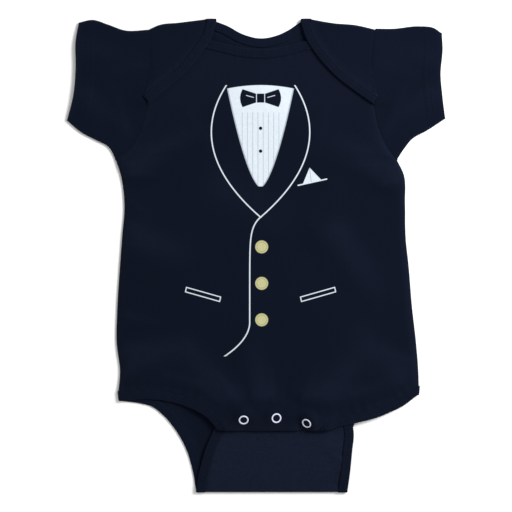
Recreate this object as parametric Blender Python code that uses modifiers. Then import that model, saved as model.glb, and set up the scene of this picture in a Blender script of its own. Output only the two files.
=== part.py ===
"""A baby's short-sleeved bodysuit with lap shoulders and a snapped crotch, laid flat with its front side up.

Metres, +Z up. The garment lies on the plane z = 0 with its neck towards +Y, and the origin is under the
middle of its footprint. Each cut piece is a wall of cloth: a surface worked out from short outline tables,
thickened by Solidify. The outlines and heights are in millimetres, and each mesh is scaled to metres as it is
made.
"""

import math
from collections import namedtuple

import bmesh
import bpy
import numpy as np

MM = 0.001

# Thickness of the cloth, of a folded rib band, and the clearance between pieces
PANEL = 1.2
BAND = 1.6
BAND_WIDTH = 8.0
SEAM_GAP = 0.3
ARMHOLE_GAP = 0.4
HIP_FLARE = 1.0

# Snap parts: rings outside the cloth, and a stud in its socket between the two layers
RING_OUTER = 4.35
RING_INNER = 3.1
RING_HEIGHT = 1.0
BACK_RING_HEIGHT = 0.8
STUD_BASE_RADIUS = 4.1
STUD_BASE_HEIGHT = 0.5
STUD_KNOB_RADIUS = 1.7
STUD_HEIGHT = 1.2
SOCKET_RADIUS = 4.2
SOCKET_BORE = 2.0
SOCKET_CEILING = 0.5
CORE_HEIGHT = 2.0
SNAP_FACETS = 16

# Heights of the middle of each layer over the table
BACK_MID = PANEL / 2
BACK_BAND_MID = BAND / 2
FRONT_MID = PANEL + SEAM_GAP + PANEL / 2
FRONT_BAND_MID = PANEL + SEAM_GAP + BAND / 2
LAP_BOTTOM = PANEL + SEAM_GAP + BAND + SEAM_GAP
LAP_MID = LAP_BOTTOM + PANEL / 2
LAP_BAND_MID = LAP_BOTTOM + BAND / 2
LEG_FRONT_MID = BAND + SEAM_GAP + BAND / 2
FLAP_MID = PANEL + SEAM_GAP + BACK_RING_HEIGHT + SEAM_GAP + PANEL / 2
OVER_LEG_BAND = BAND - PANEL
OVER_FLAP = FLAP_MID + BAND + SEAM_GAP - LEG_FRONT_MID
CORE_BOTTOM = FLAP_MID + PANEL / 2 + SEAM_GAP
TAB_MID = CORE_BOTTOM + CORE_HEIGHT + SEAM_GAP + PANEL / 2
OVER_SNAPS = TAB_MID - (FRONT_MID + OVER_LEG_BAND + OVER_FLAP)

# How far the loose parts of the front and the sleeves stand off the layer under them
BODY_PUFF = 1.7
FLAP_BULGE = 1.0
SLEEVE_PUFF = 1.1
EDGE_ROUNDING = 13.0
SLEEVE_FOLD_RADIUS = 0.9

# Where the front climbs at the crotch: over the flap, and over the snaps
Climb = namedtuple("Climb", "left_x right_x fade_x start_y fade_y")
FLAP_CLIMB = Climb(left_x=-46.0, right_x=96.0, fade_x=24.0, start_y=-108.0, fade_y=20.0)
SNAP_CLIMB = Climb(left_x=-26.0, right_x=60.0, fade_x=14.0, start_y=-120.0, fade_y=15.0)
LEG_BAND_CLIMB_Y = -96.0
LEG_BAND_CLIMB = 16.0

# The front is free of the laps below a line that falls towards the sides
LAPS_END_Y = 170.0
LAPS_FALL = 0.42
LAPS_FADE = 42.0
MIDDLE_X = 4.0

# The flap lies flat at the crotch fold and under the snaps
FLAP_FOLD_Y = -205.0
FLAP_FOLD_FADE = 14.0
FLAP_SNAP_Y = -156.0
FLAP_SNAP_FADE = 16.0

# How full a sleeve is: at the armhole, as a share of the cuff's puff, and how blunt its section is
ARMHOLE_FULLNESS = 0.35
SECTION_POWER = 0.7

# Cells of the surfaces
LEG_CELLS = 10
MIDDLE_CELLS = 10
ARMHOLE_CELLS = 10
FRONT_SIDE_CELLS = 19
BACK_SIDE_CELLS = 8
LAP_CELLS = 5
FLAP_CELLS = 6
FOLD_CELLS = 4
SLEEVE_LENGTH_CELLS = 7
SLEEVE_LAYER_CELLS = 10

NAVY = (0.0075, 0.0095, 0.0205)
NAVY_RIB = (0.0068, 0.0086, 0.0185)
SNAP_WHITE = (0.80, 0.83, 0.88)
SNAP_METAL = (0.62, 0.62, 0.60)

Pair = namedtuple("Pair", "left_x right_x y")
Point = namedtuple("Point", "x y")
Fold = namedtuple("Fold", "x0 y0 x1 y1 width height")

# Sleeve seams, from the shoulder to the armpit
ARMHOLES = (
    Pair(left_x=-94.0, right_x=104.5, y=196.8),
    Pair(left_x=-92.0, right_x=102.0, y=168.0),
    Pair(left_x=-94.0, right_x=103.0, y=140.0),
    Pair(left_x=-101.0, right_x=108.0, y=112.0),
    Pair(left_x=-111.0, right_x=115.5, y=95.0),
    Pair(left_x=-123.0, right_x=123.5, y=84.5),
)

# Side seams, from the armpit to just above the leg bands
SIDES = (
    Pair(left_x=-123.0, right_x=123.5, y=84.5),
    Pair(left_x=-118.9, right_x=129.6, y=72.0),
    Pair(left_x=-115.5, right_x=130.9, y=46.0),
    Pair(left_x=-117.5, right_x=131.5, y=16.0),
    Pair(left_x=-119.3, right_x=134.0, y=-8.0),
    Pair(left_x=-121.7, right_x=137.2, y=-46.0),
    Pair(left_x=-122.3, right_x=140.6, y=-76.0),
    Pair(left_x=-119.3, right_x=142.6, y=-102.0),
)
HIPS = {"left": Point(-119.8, -118.8), "right": Point(142.1, -114.2)}

# Free edge of the back's neck band, then of its two laps as they come down over the front
SHOULDER_FOLD_Y = 205.9
LAP_BAND_AT_FOLD = 9.2
LAP_END_Y = 133.0
LAP_END_BAND = 11.0
BACK_NECK = (
    Point(-35.0, SHOULDER_FOLD_Y),
    Point(-25.6, 202.3),
    Point(-12.0, 195.0),
    Point(4.0, 191.2),
    Point(18.0, 193.6),
    Point(30.4, 199.5),
    Point(39.4, SHOULDER_FOLD_Y),
)
LAP_EDGES = (
    Pair(left_x=-35.0, right_x=39.4, y=SHOULDER_FOLD_Y),
    Pair(left_x=-39.0, right_x=43.6, y=192.0),
    Pair(left_x=-49.0, right_x=53.0, y=177.0),
    Pair(left_x=-64.0, right_x=69.0, y=159.0),
    Pair(left_x=-82.0, right_x=88.0, y=144.0),
)

# Shoulder folds, from the armhole towards the neck band
SHOULDERS = {
    "left": (Point(-94.0, 196.8), Point(-85.0, 200.8), Point(-68.0, 202.8)),
    "right": (Point(104.5, 196.8), Point(88.0, 200.6), Point(68.0, 202.4)),
}

# Free edge of the front's neck band, from armhole to armhole under the laps
FRONT_BAND_END_Y = 190.0
FRONT_NECK = (
    Point(-75.0, 193.6),
    Point(-57.0, 193.4),
    Point(-40.4, 189.5),
    Point(-28.0, 186.5),
    Point(-14.0, 183.2),
    Point(4.0, 181.5),
    Point(22.0, 183.2),
    Point(35.0, 186.5),
    Point(46.0, 189.3),
    Point(62.0, 193.2),
    Point(82.0, 193.6),
)

# Sleeve outlines: the fold along the top, the cuff, and the underarm, each starting at the body or the top
SLEEVE_TOPS = {
    "left": (
        Point(-94.0, 198.8),
        Point(-115.0, 198.3),
        Point(-131.0, 203.8),
        Point(-144.0, 207.6),
        Point(-155.5, 205.2),
    ),
    "right": (
        Point(104.5, 199.8),
        Point(121.0, 199.8),
        Point(143.0, 202.0),
        Point(156.5, 200.4),
        Point(163.2, 195.8),
    ),
}
CUFFS = {
    "left": (
        Point(-155.5, 205.2),
        Point(-158.2, 190.0),
        Point(-158.3, 165.0),
        Point(-160.5, 140.0),
        Point(-166.0, 119.0),
    ),
    "right": (
        Point(163.2, 195.8),
        Point(163.8, 182.0),
        Point(162.0, 160.0),
        Point(163.6, 140.0),
        Point(166.2, 120.6),
    ),
}
UNDERARMS = {
    "left": (
        Point(-123.3, 84.5),
        Point(-129.6, 95.8),
        Point(-141.0, 102.0),
        Point(-154.0, 109.0),
        Point(-166.0, 119.0),
    ),
    "right": (
        Point(123.8, 84.5),
        Point(130.8, 95.0),
        Point(137.0, 102.6),
        Point(150.5, 110.4),
        Point(166.2, 120.6),
    ),
}

# Leg openings: free edge of the band on the front, from the hip to the tab
FRONT_LEGS = {
    "left": (
        Point(-118.9, -127.2),
        Point(-100.0, -125.6),
        Point(-80.0, -127.0),
        Point(-61.0, -132.0),
        Point(-43.0, -141.5),
        Point(-33.0, -153.0),
    ),
    "right": (
        Point(141.4, -122.2),
        Point(129.5, -131.2),
        Point(118.0, -136.9),
        Point(108.0, -140.9),
        Point(88.0, -146.1),
        Point(73.0, -149.5),
        Point(62.0, -153.0),
    ),
}

# On the back, from the hip to the crotch fold
CROTCH_FOLD_Y = -205.7
BACK_LEGS = {
    "left": (
        Point(-118.9, -127.2),
        Point(-100.0, -129.8),
        Point(-92.0, -132.0),
        Point(-84.0, -137.6),
        Point(-72.0, -150.9),
        Point(-60.7, -171.0),
        Point(-55.4, -189.0),
        Point(-52.6, CROTCH_FOLD_Y),
    ),
    "right": (
        Point(141.4, -122.2),
        Point(127.0, -129.0),
        Point(110.0, -134.5),
        Point(97.0, -140.5),
        Point(87.0, -146.5),
        Point(84.2, -157.0),
        Point(81.3, -175.0),
        Point(80.2, CROTCH_FOLD_Y),
    ),
}

# On the flap, which is the end of the back turned up over itself
FLAP_SIDES = {
    "left": (
        Point(-52.6, CROTCH_FOLD_Y),
        Point(-49.0, -187.0),
        Point(-43.5, -168.0),
        Point(-36.5, -152.0),
        Point(-31.5, -142.0),
        Point(-29.5, -133.0),
    ),
    "right": (
        Point(80.2, CROTCH_FOLD_Y),
        Point(82.3, -190.0),
        Point(84.2, -171.0),
        Point(85.6, -155.0),
        Point(82.5, -142.0),
        Point(77.5, -133.0),
    ),
}
SNAPS = {"left": Point(-10.8, -143.1), "middle": Point(17.8, -141.7), "right": Point(44.3, -145.9)}

# The largest creases of the front and of the sleeves: ridges above 0 and troughs below
FRONT_FOLDS = (
    Fold(x0=-112, y0=78, x1=-66, y1=104, width=11, height=1.6),
    Fold(x0=-110, y0=62, x1=-74, y1=58, width=9, height=-1.0),
    Fold(x0=116, y0=74, x1=70, y1=100, width=12, height=1.5),
    Fold(x0=112, y0=52, x1=78, y1=66, width=9, height=-0.9),
    Fold(x0=-108, y0=18, x1=-68, y1=2, width=12, height=1.4),
    Fold(x0=-108, y0=-22, x1=-76, y1=-30, width=10, height=-1.0),
    Fold(x0=-110, y0=-88, x1=-64, y1=-80, width=11, height=1.5),
    Fold(x0=40, y0=8, x1=82, y1=-44, width=14, height=-1.1),
    Fold(x0=70, y0=20, x1=104, y1=-30, width=13, height=1.2),
    Fold(x0=-22, y0=-128, x1=-58, y1=-86, width=11, height=1.5),
    Fold(x0=4, y0=-122, x1=-2, y1=-84, width=10, height=1.2),
    Fold(x0=58, y0=-124, x1=92, y1=-86, width=12, height=1.4),
    Fold(x0=124, y0=-104, x1=92, y1=-66, width=12, height=1.1),
    Fold(x0=-30, y0=60, x1=18, y1=30, width=16, height=0.8),
)
SLEEVE_FOLDS = (
    Fold(x0=-150, y0=140, x1=-116, y1=108, width=9, height=1.4),
    Fold(x0=-150, y0=184, x1=-108, y1=176, width=10, height=0.9),
    Fold(x0=152, y0=140, x1=120, y1=112, width=9, height=1.4),
    Fold(x0=152, y0=176, x1=116, y1=182, width=10, height=0.8),
)


class Line:
    """A smooth plan curve through a few points, read by its share of length."""

    def __init__(self, points):
        knots = np.array([tuple(point)[:2] for point in points], float)
        chords = np.linalg.norm(np.diff(knots, axis=0), axis=1)
        slopes = np.diff(knots, axis=0) / chords[:, None]
        before, after = chords[:-1, None], chords[1:, None]
        middles = (slopes[:-1] * after + slopes[1:] * before) / (before + after)
        tangents = np.vstack([slopes[:1], middles, slopes[-1:]])
        share = np.linspace(0, 1, 24, endpoint=False)[:, None]
        spans = [
            hermite(knots[i], knots[i + 1], tangents[i] * chords[i], tangents[i + 1] * chords[i], share)
            for i in range(len(chords))
        ]
        self.samples = np.vstack([*spans, knots[-1:]])
        steps = np.linalg.norm(np.diff(self.samples, axis=0), axis=1)
        self.shares = np.concatenate([[0], np.cumsum(steps)]) / steps.sum()

    def at(self, share):
        """The points at these shares of the length."""
        return np.stack([np.interp(share, self.shares, self.samples[:, axis]) for axis in (0, 1)], axis=-1)

    def stations(self, cells):
        """cells + 1 points, evenly spaced."""
        return self.at(np.linspace(0, 1, cells + 1))

    def normals(self, cells):
        """The unit normal to the left of travel at each station."""
        shares = np.linspace(0, 1, cells + 1)
        ahead = self.at(np.minimum(shares + 0.01, 1)) - self.at(np.maximum(shares - 0.01, 0))
        ahead /= np.linalg.norm(ahead, axis=1)[:, None]
        return np.stack([-ahead[:, 1], ahead[:, 0]], axis=1)

    def at_height(self, y):
        """The point of a line that runs downwards where it passes this y."""
        return self.at(np.interp(-y, -self.samples[:, 1], self.shares))


def hermite(start, end, leave, arrive, share):
    """The cubic from start to end that leaves and arrives with these tangents."""
    return (
        (2 * share**3 - 3 * share**2 + 1) * start
        + (share**3 - 2 * share**2 + share) * leave
        + (3 * share**2 - 2 * share**3) * end
        + (share**3 - share**2) * arrive
    )


def side_points(rows, side):
    """One side's column of a table of pairs, as points."""
    return [Point(row.left_x if side == "left" else row.right_x, row.y) for row in rows]


def outward_x(side):
    return -1.0 if side == "left" else 1.0


def armhole(side):
    return Line(side_points(ARMHOLES, side))


def joined(*runs):
    """Runs of points end to end, with each shared end kept once."""
    return np.vstack([*(run[:-1] for run in runs[:-1]), runs[-1]])


def coons(top, bottom, left, right):
    """Plan points inside four edges: top and bottom run left to right, left and right run downwards."""
    u = np.linspace(0, 1, len(top))[None, :, None]
    v = np.linspace(0, 1, len(left))[:, None, None]
    between_rows = (1 - v) * top[None] + v * bottom[None]
    between_columns = (1 - u) * left[:, None] + u * right[:, None]
    corners = (1 - v) * ((1 - u) * top[0] + u * top[-1]) + v * ((1 - u) * bottom[0] + u * bottom[-1])
    return between_rows + between_columns - corners


def rise(share):
    """0 below 0, 1 above 1, and a smooth step between."""
    share = np.clip(share, 0, 1)
    return share * share * (3 - 2 * share)


def between(value, low, high, soft):
    """1 from low to high, falling smoothly to 0 over soft on each side."""
    return rise((value - low) / soft + 1) * rise((high - value) / soft + 1)


def rounded(distance):
    """A quarter of an ellipse: 0 at an edge, 1 once the distance reaches EDGE_ROUNDING."""
    return np.sqrt(1 - (1 - np.clip(distance / EDGE_ROUNDING, 0, 1)) ** 2)


def creases(plan, folds):
    """The summed height of the folds: each is a smooth ridge or trough round a line, fading along it."""
    total = np.zeros(plan.shape[:-1])
    for fold in folds:
        start = np.array([fold.x0, fold.y0], float)
        along = np.array([fold.x1, fold.y1], float) - start
        share = np.clip(((plan - start) @ along) / (along @ along), 0, 1)
        away = np.linalg.norm(plan - start - share[..., None] * along, axis=-1)
        total += fold.height * (1 - 0.6 * share) * np.exp(-((away / fold.width) ** 2))
    return total


def lifted(plan, height):
    """Plan points with a height, as one array of x, y and z."""
    return np.concatenate([plan, np.broadcast_to(height, plan.shape[:-1])[..., None]], axis=-1)


def turned_over(edge, outward, low, high, cells=FOLD_CELLS):
    """Rows of a fold: an edge in plan carried round a half circle, from the height low to the height high."""
    radius = (high - low) / 2
    turns = np.radians(np.linspace(-90, 90, cells + 1))
    reach = np.asarray(outward, float)
    rows = [lifted(edge + radius * math.cos(a) * reach, low + radius * (1 + math.sin(a))) for a in turns]
    return np.stack(rows)


def climbing(plan, climb):
    """How far a point is up a climb of the front, from 0 to 1."""
    across = between(plan[..., 0], climb.left_x, climb.right_x, climb.fade_x)
    return across * rise((climb.start_y - plan[..., 1]) / climb.fade_y)


def over_the_crotch(plan):
    """The front's climb over the flap and over the snaps, and the share of it that is over the snaps."""
    snaps = climbing(plan, SNAP_CLIMB)
    return OVER_FLAP * climbing(plan, FLAP_CLIMB) + OVER_SNAPS * snaps, snaps


def front_height(plan, to_edge):
    """The middle of the front: low at its edges and under the laps, and standing off the back elsewhere."""
    laps_end = LAPS_END_Y - LAPS_FALL * np.abs(plan[..., 0] - MIDDLE_X)
    below_laps = rise((laps_end - plan[..., 1]) / LAPS_FADE)
    at_legs = rise((LEG_BAND_CLIMB_Y - plan[..., 1]) / LEG_BAND_CLIMB)
    climb, at_snaps = over_the_crotch(plan)
    free = below_laps * rounded(to_edge) * (1 - at_snaps)
    body = np.maximum((BODY_PUFF + creases(plan, FRONT_FOLDS)) * free, 0)
    return FRONT_MID + OVER_LEG_BAND * at_legs + body + climb


def flap_bulge(plan):
    """The flap is flat under the snaps, and rises a little between them and the crotch fold."""
    off_fold = rise((plan[..., 1] - FLAP_FOLD_Y) / FLAP_FOLD_FADE)
    return FLAP_BULGE * off_fold * rise((FLAP_SNAP_Y - plan[..., 1]) / FLAP_SNAP_FADE)


def strip(line, inward, cells, first, last):
    """A band in plan: rows of three points from its free edge inwards. first and last are its end rows."""
    edge = line.stations(cells)
    inner = edge + BAND_WIDTH * inward * line.normals(cells)
    edge[0], inner[0] = first
    edge[-1], inner[-1] = last
    return np.stack([edge, (edge + inner) / 2, inner], axis=1)


def beside(rows):
    """Where a panel ends beside a band: the band's inner edge and the seam gap past it."""
    across = rows[:, -1] - rows[:, 0]
    return rows[:, -1] + SEAM_GAP * across / np.linalg.norm(across, axis=1)[:, None]


def leg_runs(side):
    """The three flat runs of one leg band in plan: on the front, on the back and on the flap."""
    inward = -outward_x(side)
    level = np.array([BAND_WIDTH * inward, 0])
    hip = (FRONT_LEGS[side][0], HIPS[side])
    tab = np.array(FRONT_LEGS[side][-1])
    fold = np.array(BACK_LEGS[side][-1])
    end = np.array(FLAP_SIDES[side][-1])
    front = strip(Line(FRONT_LEGS[side]), inward, LEG_CELLS, hip, (tab, tab + level))
    back = strip(Line(BACK_LEGS[side]), inward, LEG_CELLS, hip, (fold, fold + level))
    flap = strip(Line(FLAP_SIDES[side]), -inward, FLAP_CELLS, (fold, fold + level), (end, end + level))
    return front, back, flap


def beside_leg(rows):
    """The same beside a leg band, carried on at the hip so that the panel is as wide as the band's own fold."""
    edge = beside(rows)
    onward = edge[0] - edge[1]
    edge[0] += HIP_FLARE * onward / np.linalg.norm(onward)
    return edge


def back_neck_run():
    """The back's neck band in plan, between its two shoulder folds."""
    first, last = np.array(BACK_NECK[0]), np.array(BACK_NECK[-1])
    level = np.array([LAP_BAND_AT_FOLD, 0])
    return strip(Line(BACK_NECK), -1, MIDDLE_CELLS, (first, first - level), (last, last + level))


def lap_run(side):
    """The band along one lap in plan, from the shoulder fold to the armhole."""
    outward = outward_x(side)
    top = np.array(side_points(LAP_EDGES, side)[0])
    end = armhole(side).at_height(LAP_END_Y)
    inner_end = armhole(side).at_height(LAP_END_Y + LAP_END_BAND)
    line = Line([*side_points(LAP_EDGES, side), Point(*end)])
    first = (top, top + np.array([outward * LAP_BAND_AT_FOLD, 0]))
    return strip(line, outward, 2 * LAP_CELLS, first, (end, inner_end))


def front_neck_run():
    """The front's neck band in plan, from armhole to armhole."""
    lines = [armhole(side) for side in ("left", "right")]
    inner_y = FRONT_BAND_END_Y - BAND_WIDTH
    ends = [(line.at_height(FRONT_BAND_END_Y), line.at_height(inner_y)) for line in lines]
    neck = Line([Point(*ends[0][0]), *FRONT_NECK, Point(*ends[1][0])])
    return strip(neck, -1, 2 * LEG_CELLS + MIDDLE_CELLS, *ends)


def side_seam(side, hip_edge, cells):
    return Line([*side_points(SIDES, side), Point(*hip_edge)]).stations(cells)


def front_panel_surface():
    """One patch from the neck band to the leg bands and the tab's end."""
    runs = {side: beside_leg(leg_runs(side)[0]) for side in ("left", "right")}
    top = beside(front_neck_run())
    tab_end = Line([runs["left"][-1], runs["right"][-1]]).stations(MIDDLE_CELLS)
    bottom = joined(runs["left"], tab_end, runs["right"][::-1])
    edges = {}
    for side, corner in (("left", top[0]), ("right", top[-1])):
        seam = armhole(side)
        start = np.interp(-corner[1], -seam.samples[:, 1], seam.shares)
        sleeve_seam = seam.at(np.linspace(start, 1, ARMHOLE_CELLS + 1))
        sleeve_seam[0] = corner
        edges[side] = joined(sleeve_seam, side_seam(side, runs[side][0], FRONT_SIDE_CELLS))
    plan = coons(top, bottom, edges["left"], edges["right"])
    rim = np.vstack([edges["left"], edges["right"], bottom])
    to_edge = np.linalg.norm(plan[:, :, None] - rim, axis=-1).min(axis=-1)
    return [lifted(plan, front_height(plan, to_edge))]


def back_panel_surface():
    """The back, its shoulders turned over as laps, and its crotch end turned up as the flap."""
    neck = beside(back_neck_run())
    runs = {side: leg_runs(side) for side in ("left", "right")}
    legs = {side: beside_leg(runs[side][1]) for side in runs}
    folds = {
        side: Line([*SHOULDERS[side], Point(*neck[0 if side == "left" else -1])]).stations(LEG_CELLS)
        for side in runs
    }
    crotch = Line([legs["left"][-1], legs["right"][-1]]).stations(MIDDLE_CELLS)
    top = joined(folds["left"], neck, folds["right"][::-1])
    bottom = joined(legs["left"], crotch, legs["right"][::-1])
    edges = [
        joined(armhole(side).stations(ARMHOLE_CELLS), side_seam(side, legs[side][0], BACK_SIDE_CELLS))
        for side in ("left", "right")
    ]
    patches = [lifted(coons(top, bottom, *edges), BACK_MID)]
    for side in ("left", "right"):
        patches.append(turned_over(folds[side], (0, 1), BACK_MID, LAP_MID))
        patches.append(lap_patch(side, folds[side]))
    patches.append(turned_over(crotch, (0, -1), BACK_MID, FLAP_MID))
    sides = [beside(runs[side][2])[::-1] for side in ("left", "right")]
    flap_end = Line([sides[0][0], sides[1][0]]).stations(MIDDLE_CELLS)
    flap = coons(flap_end, crotch, *sides)
    patches.append(lifted(flap, FLAP_MID + flap_bulge(flap)))
    return patches


def lap_patch(side, fold):
    """One lap: below the shoulder fold, between the armhole and the lap's band, which turns a corner half way."""
    band_edge = beside(lap_run(side))
    band_edge[0] = fold[-1]
    seam = armhole(side)
    end = np.interp(-band_edge[-1][1], -seam.samples[:, 1], seam.shares)
    left = seam.at(np.linspace(0, end, LAP_CELLS + 1))
    left[-1] = band_edge[-1]
    right = band_edge[: LAP_CELLS + 1]
    bottom = Line([Point(*point) for point in band_edge[LAP_CELLS:][::-1]]).stations(LEG_CELLS)
    return lifted(coons(fold, bottom, left, right), LAP_MID)


def leg_band_surface(side):
    """One leg band: the tab to the hip on the front, over the side, down the back, and up the flap."""
    front, back, flap = leg_runs(side)
    climb, _ = over_the_crotch(front)
    hip_fold = turned_over(front[0], (outward_x(side), 0), BACK_BAND_MID, LEG_FRONT_MID)
    crotch_fold = turned_over(back[-1], (0, -1), BACK_BAND_MID, FLAP_MID)
    return [
        lifted(front, LEG_FRONT_MID + climb),
        hip_fold,
        lifted(back, BACK_BAND_MID),
        crotch_fold,
        lifted(flap, FLAP_MID + flap_bulge(flap)),
    ]


def back_neck_band_surface():
    """The band round the back neckline, over each shoulder, and down the lap to the armhole."""
    neck = back_neck_run()
    patches = [lifted(neck, BACK_BAND_MID)]
    for side, end in (("left", neck[0]), ("right", neck[-1])):
        patches.append(turned_over(end, (0, 1), BACK_BAND_MID, LAP_BAND_MID))
        patches.append(lifted(lap_run(side), LAP_BAND_MID))
    return patches


def sleeve_surface(side):
    """A flattened tube, open at the armhole and the cuff: its loops go round it, and its columns along it."""
    reach = SLEEVE_FOLD_RADIUS + PANEL / 2
    outward = outward_x(side)
    shift = np.array([outward * ARMHOLE_GAP, 0])
    seam = armhole(side)
    inner = seam.stations(SLEEVE_LAYER_CELLS) + shift
    top_line, cuff_line, under_line = Line(SLEEVE_TOPS[side]), Line(CUFFS[side]), Line(UNDERARMS[side])
    top_out = outward * top_line.normals(SLEEVE_LENGTH_CELLS)
    under_out = -outward * under_line.normals(SLEEVE_LENGTH_CELLS)
    top = top_line.stations(SLEEVE_LENGTH_CELLS) - reach * top_out
    under = under_line.stations(SLEEVE_LENGTH_CELLS) - reach * under_out
    top[0] = inner[0]
    under[0] = inner[-1]
    cuff = cuff_line.stations(SLEEVE_LAYER_CELLS)
    cuff[0] = top[-1]
    cuff[-1] = under[-1]
    layer = coons(inner, cuff, top, under)
    across = np.sin(np.pi * np.linspace(0, 1, SLEEVE_LAYER_CELLS + 1))[None] ** SECTION_POWER
    along = ARMHOLE_FULLNESS + (1 - ARMHOLE_FULLNESS) * np.linspace(0, 1, SLEEVE_LENGTH_CELLS + 1)[:, None]
    upper_mid = BACK_MID + 2 * SLEEVE_FOLD_RADIUS
    puff = np.maximum((SLEEVE_PUFF + creases(layer, SLEEVE_FOLDS)) * across * along, 0)
    lower = lifted(layer, BACK_MID)
    upper = lifted(layer, upper_mid + puff)
    folds = [
        np.stack([turned_over(edge[i], out[i], BACK_MID, upper_mid) for i in range(len(edge))])
        for edge, out in ((top, top_out), (under, under_out))
    ]
    return [lower, upper, *folds]


def add_patch(bm, points):
    """Adds a grid to bm and moves its corners to points, an array of rows and columns of x, y and z."""
    rows, columns = points.shape[0] - 1, points.shape[1] - 1
    grid = bmesh.ops.create_grid(bm, x_segments=columns, y_segments=rows, size=0.5)
    for vert in grid["verts"]:
        column = round((vert.co.x + 0.5) * columns)
        row = round((vert.co.y + 0.5) * rows)
        vert.co = points[row, column] * MM


def new_material(name, colour, roughness, metallic=0.0):
    material = bpy.data.materials.new(name)
    material.use_nodes = True
    shader = material.node_tree.nodes["Principled BSDF"]
    shader.inputs["Base Color"].default_value = (*colour, 1.0)
    shader.inputs["Roughness"].default_value = roughness
    shader.inputs["Metallic"].default_value = metallic
    return material


def new_object(name, bm, material, collection):
    """Puts bm into a new smooth-shaded object of the garment's collection."""
    mesh = bpy.data.meshes.new(name)
    bm.to_mesh(mesh)
    bm.free()
    mesh.materials.append(material)
    mesh.shade_smooth()
    obj = bpy.data.objects.new(name, mesh)
    collection.objects.link(obj)
    return obj


def cloth(name, patches, thickness, material, collection):
    """One piece of cloth: its patches sewn into a surface, which Solidify thickens equally to both sides."""
    bm = bmesh.new()
    for patch in patches:
        add_patch(bm, patch)
    bmesh.ops.remove_doubles(bm, verts=bm.verts, dist=0.01 * MM)
    bmesh.ops.recalc_face_normals(bm, faces=bm.faces)
    obj = new_object(name, bm, material, collection)
    solidify = obj.modifiers.new("thickness", "SOLIDIFY")
    solidify.thickness = thickness * MM
    solidify.offset = 0.0
    solidify.use_even_offset = True
    return obj


def turned(name, profile, closed, place, base, material, collection):
    """A turned snap part at place: a profile of radius and height over base, run down its outer side."""
    bm = bmesh.new()
    verts = [bm.verts.new((radius * MM, 0.0, height * MM)) for radius, height in profile]
    for start, end in zip(verts, verts[1:] + verts[:1] if closed else verts[1:]):
        bm.edges.new((start, end))
    obj = new_object(name, bm, material, collection)
    obj.location = (place.x * MM, place.y * MM, base * MM)
    screw = obj.modifiers.new("turn", "SCREW")
    screw.steps = screw.render_steps = SNAP_FACETS
    screw.use_merge_vertices = True
    screw.merge_threshold = 0.01 * MM
    return obj


def domed_ring(height):
    """A ring's closed profile with a rounded top."""
    crown = (RING_OUTER + RING_INNER) / 2
    flank = (RING_OUTER - RING_INNER) / 2
    turns = np.radians(np.linspace(180, 0, 6))
    arch = [(crown + flank * math.cos(a), height * (0.35 + 0.65 * math.sin(a))) for a in turns]
    return [*arch, (RING_OUTER, 0.0), (RING_INNER, 0.0)]


def add_snap(label, place, white, metal, collection):
    """A fastened ring snap, through the tab and the flap."""
    stud = [
        (0, STUD_HEIGHT),
        (STUD_KNOB_RADIUS, STUD_HEIGHT),
        (STUD_KNOB_RADIUS, STUD_BASE_HEIGHT),
        (STUD_BASE_RADIUS, STUD_BASE_HEIGHT),
        (STUD_BASE_RADIUS, 0),
        (0, 0),
    ]
    socket_height = CORE_HEIGHT - STUD_BASE_HEIGHT - SEAM_GAP
    ceiling = socket_height - SOCKET_CEILING
    socket = [
        (0, socket_height),
        (SOCKET_RADIUS, socket_height),
        (SOCKET_RADIUS, 0),
        (SOCKET_BORE, 0),
        (SOCKET_BORE, ceiling),
        (0, ceiling),
    ]
    back_ring_base = PANEL + SEAM_GAP
    socket_base = CORE_BOTTOM + CORE_HEIGHT - socket_height
    front_ring_base = TAB_MID + PANEL / 2 + SEAM_GAP
    parts = (
        ("back_ring", domed_ring(BACK_RING_HEIGHT), True, back_ring_base, white),
        ("stud", stud, False, CORE_BOTTOM, metal),
        ("socket", socket, False, socket_base, metal),
        ("front_ring", domed_ring(RING_HEIGHT), True, front_ring_base, white),
    )
    for part, profile, closed, base, material in parts:
        turned(f"snap_{label}_{part}", profile, closed, place, base, material, collection)


def main():
    for obj in list(bpy.data.objects):
        bpy.data.objects.remove(obj)
    garment = bpy.data.collections.new("baby_bodysuit")
    bpy.context.scene.collection.children.link(garment)
    jersey = new_material("navy_jersey", NAVY, 0.85)
    rib = new_material("navy_rib", NAVY_RIB, 0.88)
    white = new_material("snap_white", SNAP_WHITE, 0.3)
    metal = new_material("snap_metal", SNAP_METAL, 0.35, 1.0)
    cloth("back_panel", back_panel_surface(), PANEL, jersey, garment)
    cloth("front_panel", front_panel_surface(), PANEL, jersey, garment)
    cloth("back_neck_band", back_neck_band_surface(), BAND, rib, garment)
    cloth("front_neck_band", [lifted(front_neck_run(), FRONT_BAND_MID)], BAND, rib, garment)
    for side in ("left", "right"):
        cloth(f"sleeve_{side}", sleeve_surface(side), PANEL, jersey, garment)
        cloth(f"leg_band_{side}", leg_band_surface(side), BAND, rib, garment)
    for label, place in SNAPS.items():
        add_snap(label, place, white, metal, garment)


main()
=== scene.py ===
# %% [markdown]
# # A baby's lap-shoulder bodysuit, laid flat
#
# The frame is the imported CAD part: stiff walls of cloth in the right shape and place. This script dresses
# it. Each wall is worked out again from the same outline tables, with far more points, a thinner wall, and
# the creases, seams, hems, stitches and knit that the plain solids leave out.
#
# Outlines and heights are in millimetres, as on a cutting table, and each mesh is scaled to metres as it is
# made.

import math
from collections import namedtuple

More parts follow.
